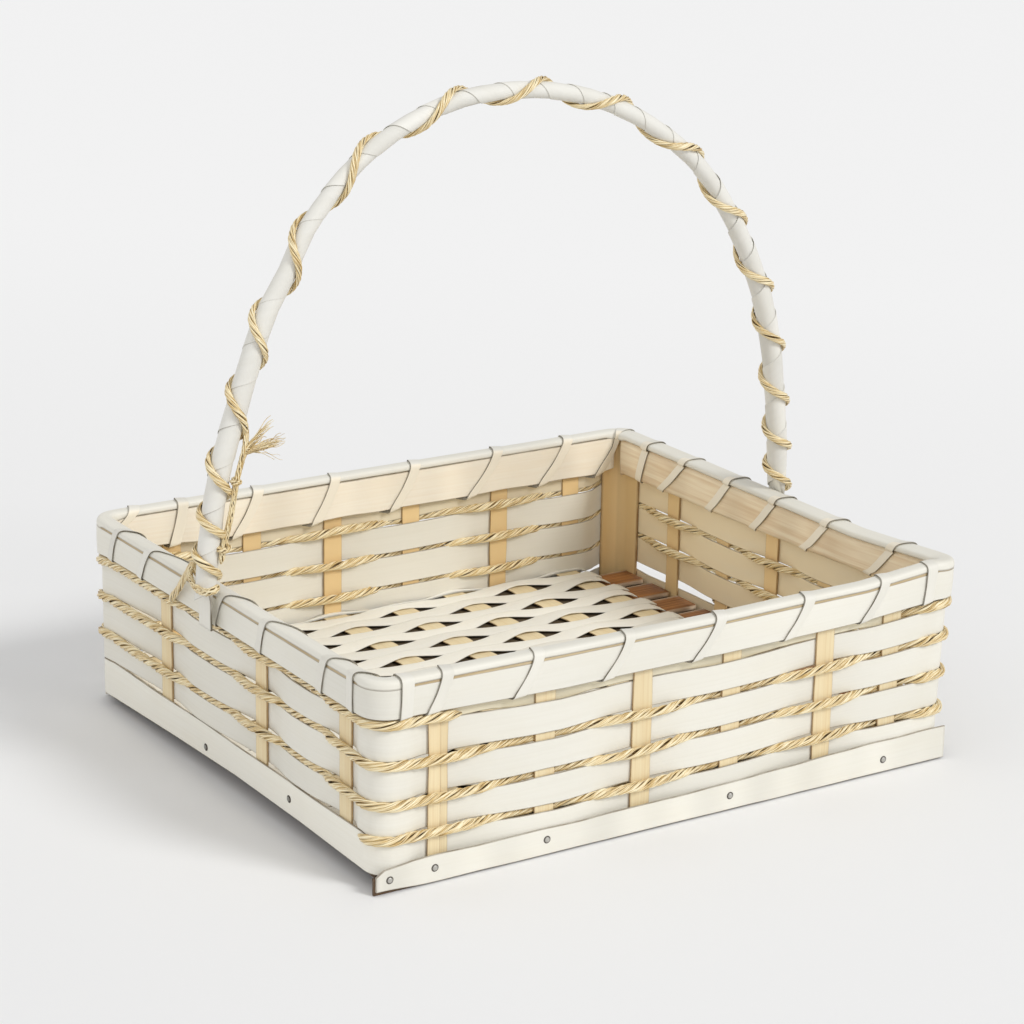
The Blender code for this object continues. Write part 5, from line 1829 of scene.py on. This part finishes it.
@dataclass
class Handle:
    """Taped rod, its flat feet, the twine wound round it and its frayed end."""

    finishes: Finishes
    arch: Arch
    radius: float = 0.0035  # Radius of the tape's inner side on top.
    leg_swell: float = 0.0011  # How much larger it is in the legs.
    tape_pitch: float = 0.02
    tape_width: float = 0.023
    tape_thickness: float = 0.00028
    tape_lift: float = 0.00045  # How much further out its outer edge lies.
    winding_gap: float = 0.0019  # Distance of the twine's middle from the tape's inner side.
    foot_bottom: float = 0.0806
    rope: Rope = Rope(0.0019, 0.0013, 0.032, plies=7, hand=-1, sides=7, step=0.0008)

    # Turns of the twine over the arch, and how they crowd towards the feet.
    TURNS = 16.65
    START = 0.273
    CROWDING = (7.114, 3.592)
    LEAN = 0.828
    # Turn number, and how far the twine lies further towards the right foot there.
    STRAY = (
        (0.27, 0.0), (0.84, 0.0), (1.84, -0.005), (2.84, -0.0072), (3.84, 0.0), (4.84, 0.0025),
        (5.83, 0.003), (6.82, 0.002), (7.81, 0.0054), (8.81, 0.0066), (9.8, 0.0065), (10.78, 0.0055),
        (11.75, -0.004), (12.72, -0.0038), (13.7, -0.0035), (14.68, 0.0003), (15.66, 0.0027),
        (16.66, -0.0014), (16.92, 0.0),
    )

    # Route of the two tails from the hoop to the winding.
    LEFT_TAIL = (
        (-0.162, 0.0475, 0.0798), (-0.1646, 0.0442, 0.0831), (-0.1655, 0.0349, 0.0911),
        (-0.167, 0.0243, 0.1009), (-0.1681, 0.0165, 0.1078), (-0.168, 0.0139, 0.1086),
        (-0.1672, 0.0132, 0.105),
    )
    RIGHT_TAIL = (
        (0.1722, 0.0056, 0.0983), (0.1716, 0.011, 0.0955), (0.1705, 0.017, 0.0922),
        (0.1694, 0.0225, 0.0888), (0.1684, 0.027, 0.0862), (0.1676, 0.03, 0.0848),
        (0.1664, 0.031, 0.0845), (0.1624, 0.031, 0.0845),
    )
    # Loop round the foot, from behind the leg to its inner side.
    FOOT_LOOP = (
        (-0.1685, 0.012, 0.1111), (-0.17, 0.0142, 0.1059), (-0.1712, 0.0093, 0.1021),
        (-0.172, 0.0013, 0.1011), (-0.1712, -0.005, 0.1019), (-0.1688, -0.0078, 0.1033),
        (-0.165, -0.0052, 0.1039),
    )
    # Second strand up the inner side of the left leg, to the root of the frayed end.
    LEG_STRAND = (
        (-0.1606, 0.001, 0.112), (-0.1594, 0.0006, 0.12), (-0.1576, 0.0004, 0.127),
        (-0.1552, 0.0002, 0.137), (-0.153, -0.0002, 0.15), (-0.15, 0.0, 0.16),
        (-0.1478, 0.0008, 0.165), (-0.1464, 0.0022, 0.1695), (-0.1452, 0.0044, 0.1735),
    )
    TASSEL_ROOT = (-0.1475, 0.0005, 0.1645)
    KNOTS = ((LEG_STRAND[1], 0.0026), ((-0.1532, -0.0006, 0.1512), 0.0016))

    def build(self) -> None:
        """Make every piece of the handle."""
        self._feet()
        self._tape()
        self._winding()
        self._leg_strand()
        self._tassel()

    def _inner_radius(self, place: Array) -> Array:
        """Radius of the tape's inner side at lengths along the arch."""
        from_top = np.abs(2 * place / self.arch.length - 1)
        return self.radius + self.leg_swell * smooth_step((from_top - 0.35) / 0.35)

    def _feet(self) -> None:
        """Flat ends of the rod outside the rim, widening from its round section.

        A section is an ellipse to a power: square and flat below, round above.
        """
        level = np.concatenate((np.linspace(self.foot_bottom, 0.0985, 12), np.linspace(0.1, 0.116, 12)))
        rounder = smooth_step((level - 0.094) / 0.014)
        wide = 0.006 + (0.0048 - 0.006) * rounder
        thick = 0.0007 + (0.0048 - 0.0007) * rounder
        power = 0.35 + 0.65 * rounder
        angle = circle(28)
        shape_x = signed_power(np.cos(angle), power[:, None]) * thick[:, None]
        shape_y = signed_power(np.sin(angle), power[:, None]) * wide[:, None]
        builder = MeshBuilder("handle_feet")
        rise = np.maximum(level - 0.1, 0.0)
        for place in (rise, self.arch.length - rise):
            middle, _ = self.arch.at(place)
            points = joined(middle[:, :1] + shape_x, middle[:, 1:2] + shape_y, level[:, None])
            # Painted shadow: a dark line down the flat foot's front edge.
            edge = (np.sin(angle) < -0.9) * (1 - rounder)[:, None]
            builder.add(points, level, np.append(angle, 2 * np.pi) * 0.005, edge=edge)
        builder.build(self.finishes.lashing, "white_tape", ("handle_core",))

    def _tape(self) -> None:
        """One tape wound round the rod, each turn's lower edge over the turn before.

        Its place along the arch grows with the angle by about a pitch a turn. Its
        distance from the rod falls from its lower edge to its upper one.
        """
        start, end = 0.006, self.arch.length - 0.006
        per_turn = 30
        count = int((end - start) / self.tape_pitch * per_turn)
        share = np.linspace(0, 1, count)
        middle = start + (end - start) * share
        middle = middle + 0.0024 * ripple(share, 51, 1.0, (8, 20)) * np.sin(np.pi * share)
        angle = 2 * np.pi * np.arange(count) / per_turn
        half = np.full(count, self.tape_width / 2)
        across, through, edge, girth = Ribbon(self.tape_thickness, line=0.0004).section(-half, half)
        lift = self.tape_lift * (0.5 - across / self.tape_width)
        radius = self._inner_radius(middle)[:, None] + 0.0002 + lift + through
        points = self.arch.surface(middle[:, None] + across, angle[:, None] + 0 * across, radius)
        length = middle * 2 * np.pi * self.radius / self.tape_pitch
        shown = (0.25 + 0.75 * np.cos(angle / 4) ** 2) * (1 - 0.8 * smooth_step((share - 0.4) / 0.15))
        seam = edge * (np.arange(14) < 5) * shown[:, None]
        make_piece("handle_tape", (self.finishes.tape, "white_tape", ("handle_wrap",)), points, length, girth,
                   edge=seam, tone=ripple(share, 52, 1.0, (20, 60))[:, None])

    def _winding(self) -> None:
        """Twine wound left-handed round the taped rod, with its two tails.

        Turns at share u of the arch are START + TURNS u + first sin(2 pi u) / 2 pi +
        second sin(4 pi u) / 4 pi + LEAN (1 - cos 2 pi u) / 2 pi, and the angle is minus
        that, from the arch's outward side to its front.
        """
        share = np.linspace(0, 1, 1400)
        full = 2 * np.pi
        first, second = self.CROWDING
        turns = (self.START + self.TURNS * share + first * np.sin(full * share) / full
                 + second * np.sin(2 * full * share) / (2 * full)
                 + self.LEAN * (1 - np.cos(full * share)) / full)
        even = np.linspace(turns[0], turns[-1], int((turns[-1] - turns[0]) * 16))
        stray = running_mean(np.interp(even, *zip(*self.STRAY)), 9)
        place = np.interp(even, turns, share) * self.arch.length + stray
        coil = self.arch.surface(place, -full * even, self._inner_radius(place) + self.winding_gap)
        points = smooth_path([*self.LEFT_TAIL, *coil[1:-1], *self.RIGHT_TAIL], self.rope.step)
        lengths = lengths_along(points)
        coil_start, coil_end = (lengths[np.argmin(np.linalg.norm(points - end, axis=1))]
                                for end in (coil[1], coil[-2]))
        coil_lengths = lengths_along(coil)
        coil_share = (lengths - coil_start) / (coil_end - coil_start)
        middle, _ = self.arch.at(np.interp(coil_share, coil_lengths / coil_lengths[-1], place))
        away = points - middle
        in_coil = smooth_step((lengths - coil_start) / 0.01) * smooth_step((coil_end - lengths) / 0.01)
        outward = np.sign(points[:, :1]) * np.array((1.0, 0.0, 0.0))
        reference = in_coil[:, None] * unit(away) + (1 - in_coil[:, None]) * outward
        builder = MeshBuilder("handle_twine_rope")
        self.rope.along_path(builder, points, reference, 600, (0.004, 0.004))
        builder.build(self.finishes.twine, "gold_twine", ("handle_twine",))

    def _leg_strand(self) -> None:
        """Second strand along the left leg, its knots, and the loop round the foot."""
        points = smooth_path(self.LEG_STRAND, self.rope.step)
        builder = MeshBuilder("handle_leg_strand")
        self.rope.along_path(builder, points, np.array((0.6, -0.8, 0.0)), 610, (0.003, 0.0))
        loop = smooth_path(self.FOOT_LOOP, self.rope.step)
        away = unit(loop * (1, 1, 0) - np.array((self.arch.line[0, 0] + 0.001, self.arch.line[0, 1], 0)))
        self.rope.along_path(builder, loop, away, 615, (0.003, 0.003))
        for middle, size in self.KNOTS:
            angle = np.linspace(0, 2 * np.pi, 46)
            ring = np.array(middle) + size * np.stack(
                (0.95 * np.cos(angle), 0.95 * np.sin(angle), 0.35 * np.sin(angle + 0.6)), axis=1)
            knot = Rope(0.0013, 0.0013, 0.008, hand=-1)
            knot.along_path(builder, ring, UP, 620, (0.001, 0.001))
        builder.build(self.finishes.twine, "gold_twine")

    def _tassel(self) -> None:
        """Frayed end of the twine: thin fibres that fan out and curl.

        Each fibre runs from the root along its bundle's direction, bends down with the
        square of its length and wavers by a sine, all times its own seeded amounts.
        """
        draw = np.random.default_rng(7)
        bundles = (
            ((0.6, -0.04, 0.8), 0.0232, 16, 0.05, -0.0045),
            ((0.98, -0.04, 0.14), 0.02, 44, 0.07, 0.0006),
            ((0.99, -0.04, 0.02), 0.018, 4, 0.06, -0.0062),
        )
        share = np.linspace(0, 1, 22)
        builder = MeshBuilder("handle_frayed_end")
        angle = circle(4)
        for way, reach, count, spread, bend in bundles:
            for _ in range(count):
                heading = unit(np.array(way) + draw.normal(0, spread, 3))
                length = reach * draw.uniform(0.6, 1.05)
                side = unit(np.cross(heading, draw.normal(0, 1, 3)))
                swing = draw.uniform(0.0002, 0.0011)
                waver = swing * share * np.sin(2 * np.pi * (draw.uniform(0.8, 2.6) * share + draw.uniform()))
                root = np.array(self.TASSEL_ROOT) + draw.normal(0, 0.0007, 3)
                line = root + length * share[:, None] * heading
                line = line + waver[:, None] * side + bend * (share ** 2)[:, None] * UP
                first, second = path_frames(line, np.array((0.1, 0.2, 1.0)))
                size = draw.uniform(0.00016, 0.0004) * (1 - 0.6 * share)
                ring = around_ring(angle, first[:, None], second[:, None])
                points = line[:, None] + size[:, None, None] * ring
                builder.add(points, share * length + draw.uniform(), np.append(angle, 2 * np.pi) * 0.0002)
        builder.build(self.finishes.twine, "gold_twine")


def main() -> None:
    """Build the scene: studio first, then the basket from its wall to its handle."""
    logging.basicConfig(level=logging.INFO, format="%(name)s %(message)s", force=True)
    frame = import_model()
    Studio().build()
    finishes = Finishes()
    outline = Outline()
    weave = Weave(outline)
    strips = WallStrips(weave, finishes)
    for part in (strips, WallTwines(weave, strips, finishes), Rim(weave, finishes),
                 Bottom(outline, strips, finishes), Handle(finishes, Arch())):
        LOG.info("building %s", type(part).__name__)
        part.build()
    weaver = frame["nodes"]["rim_weaver"].data
    weaver.materials.clear()
    weaver.materials.append(finishes.hidden_cane)


if __name__ == "__main__":
    main()
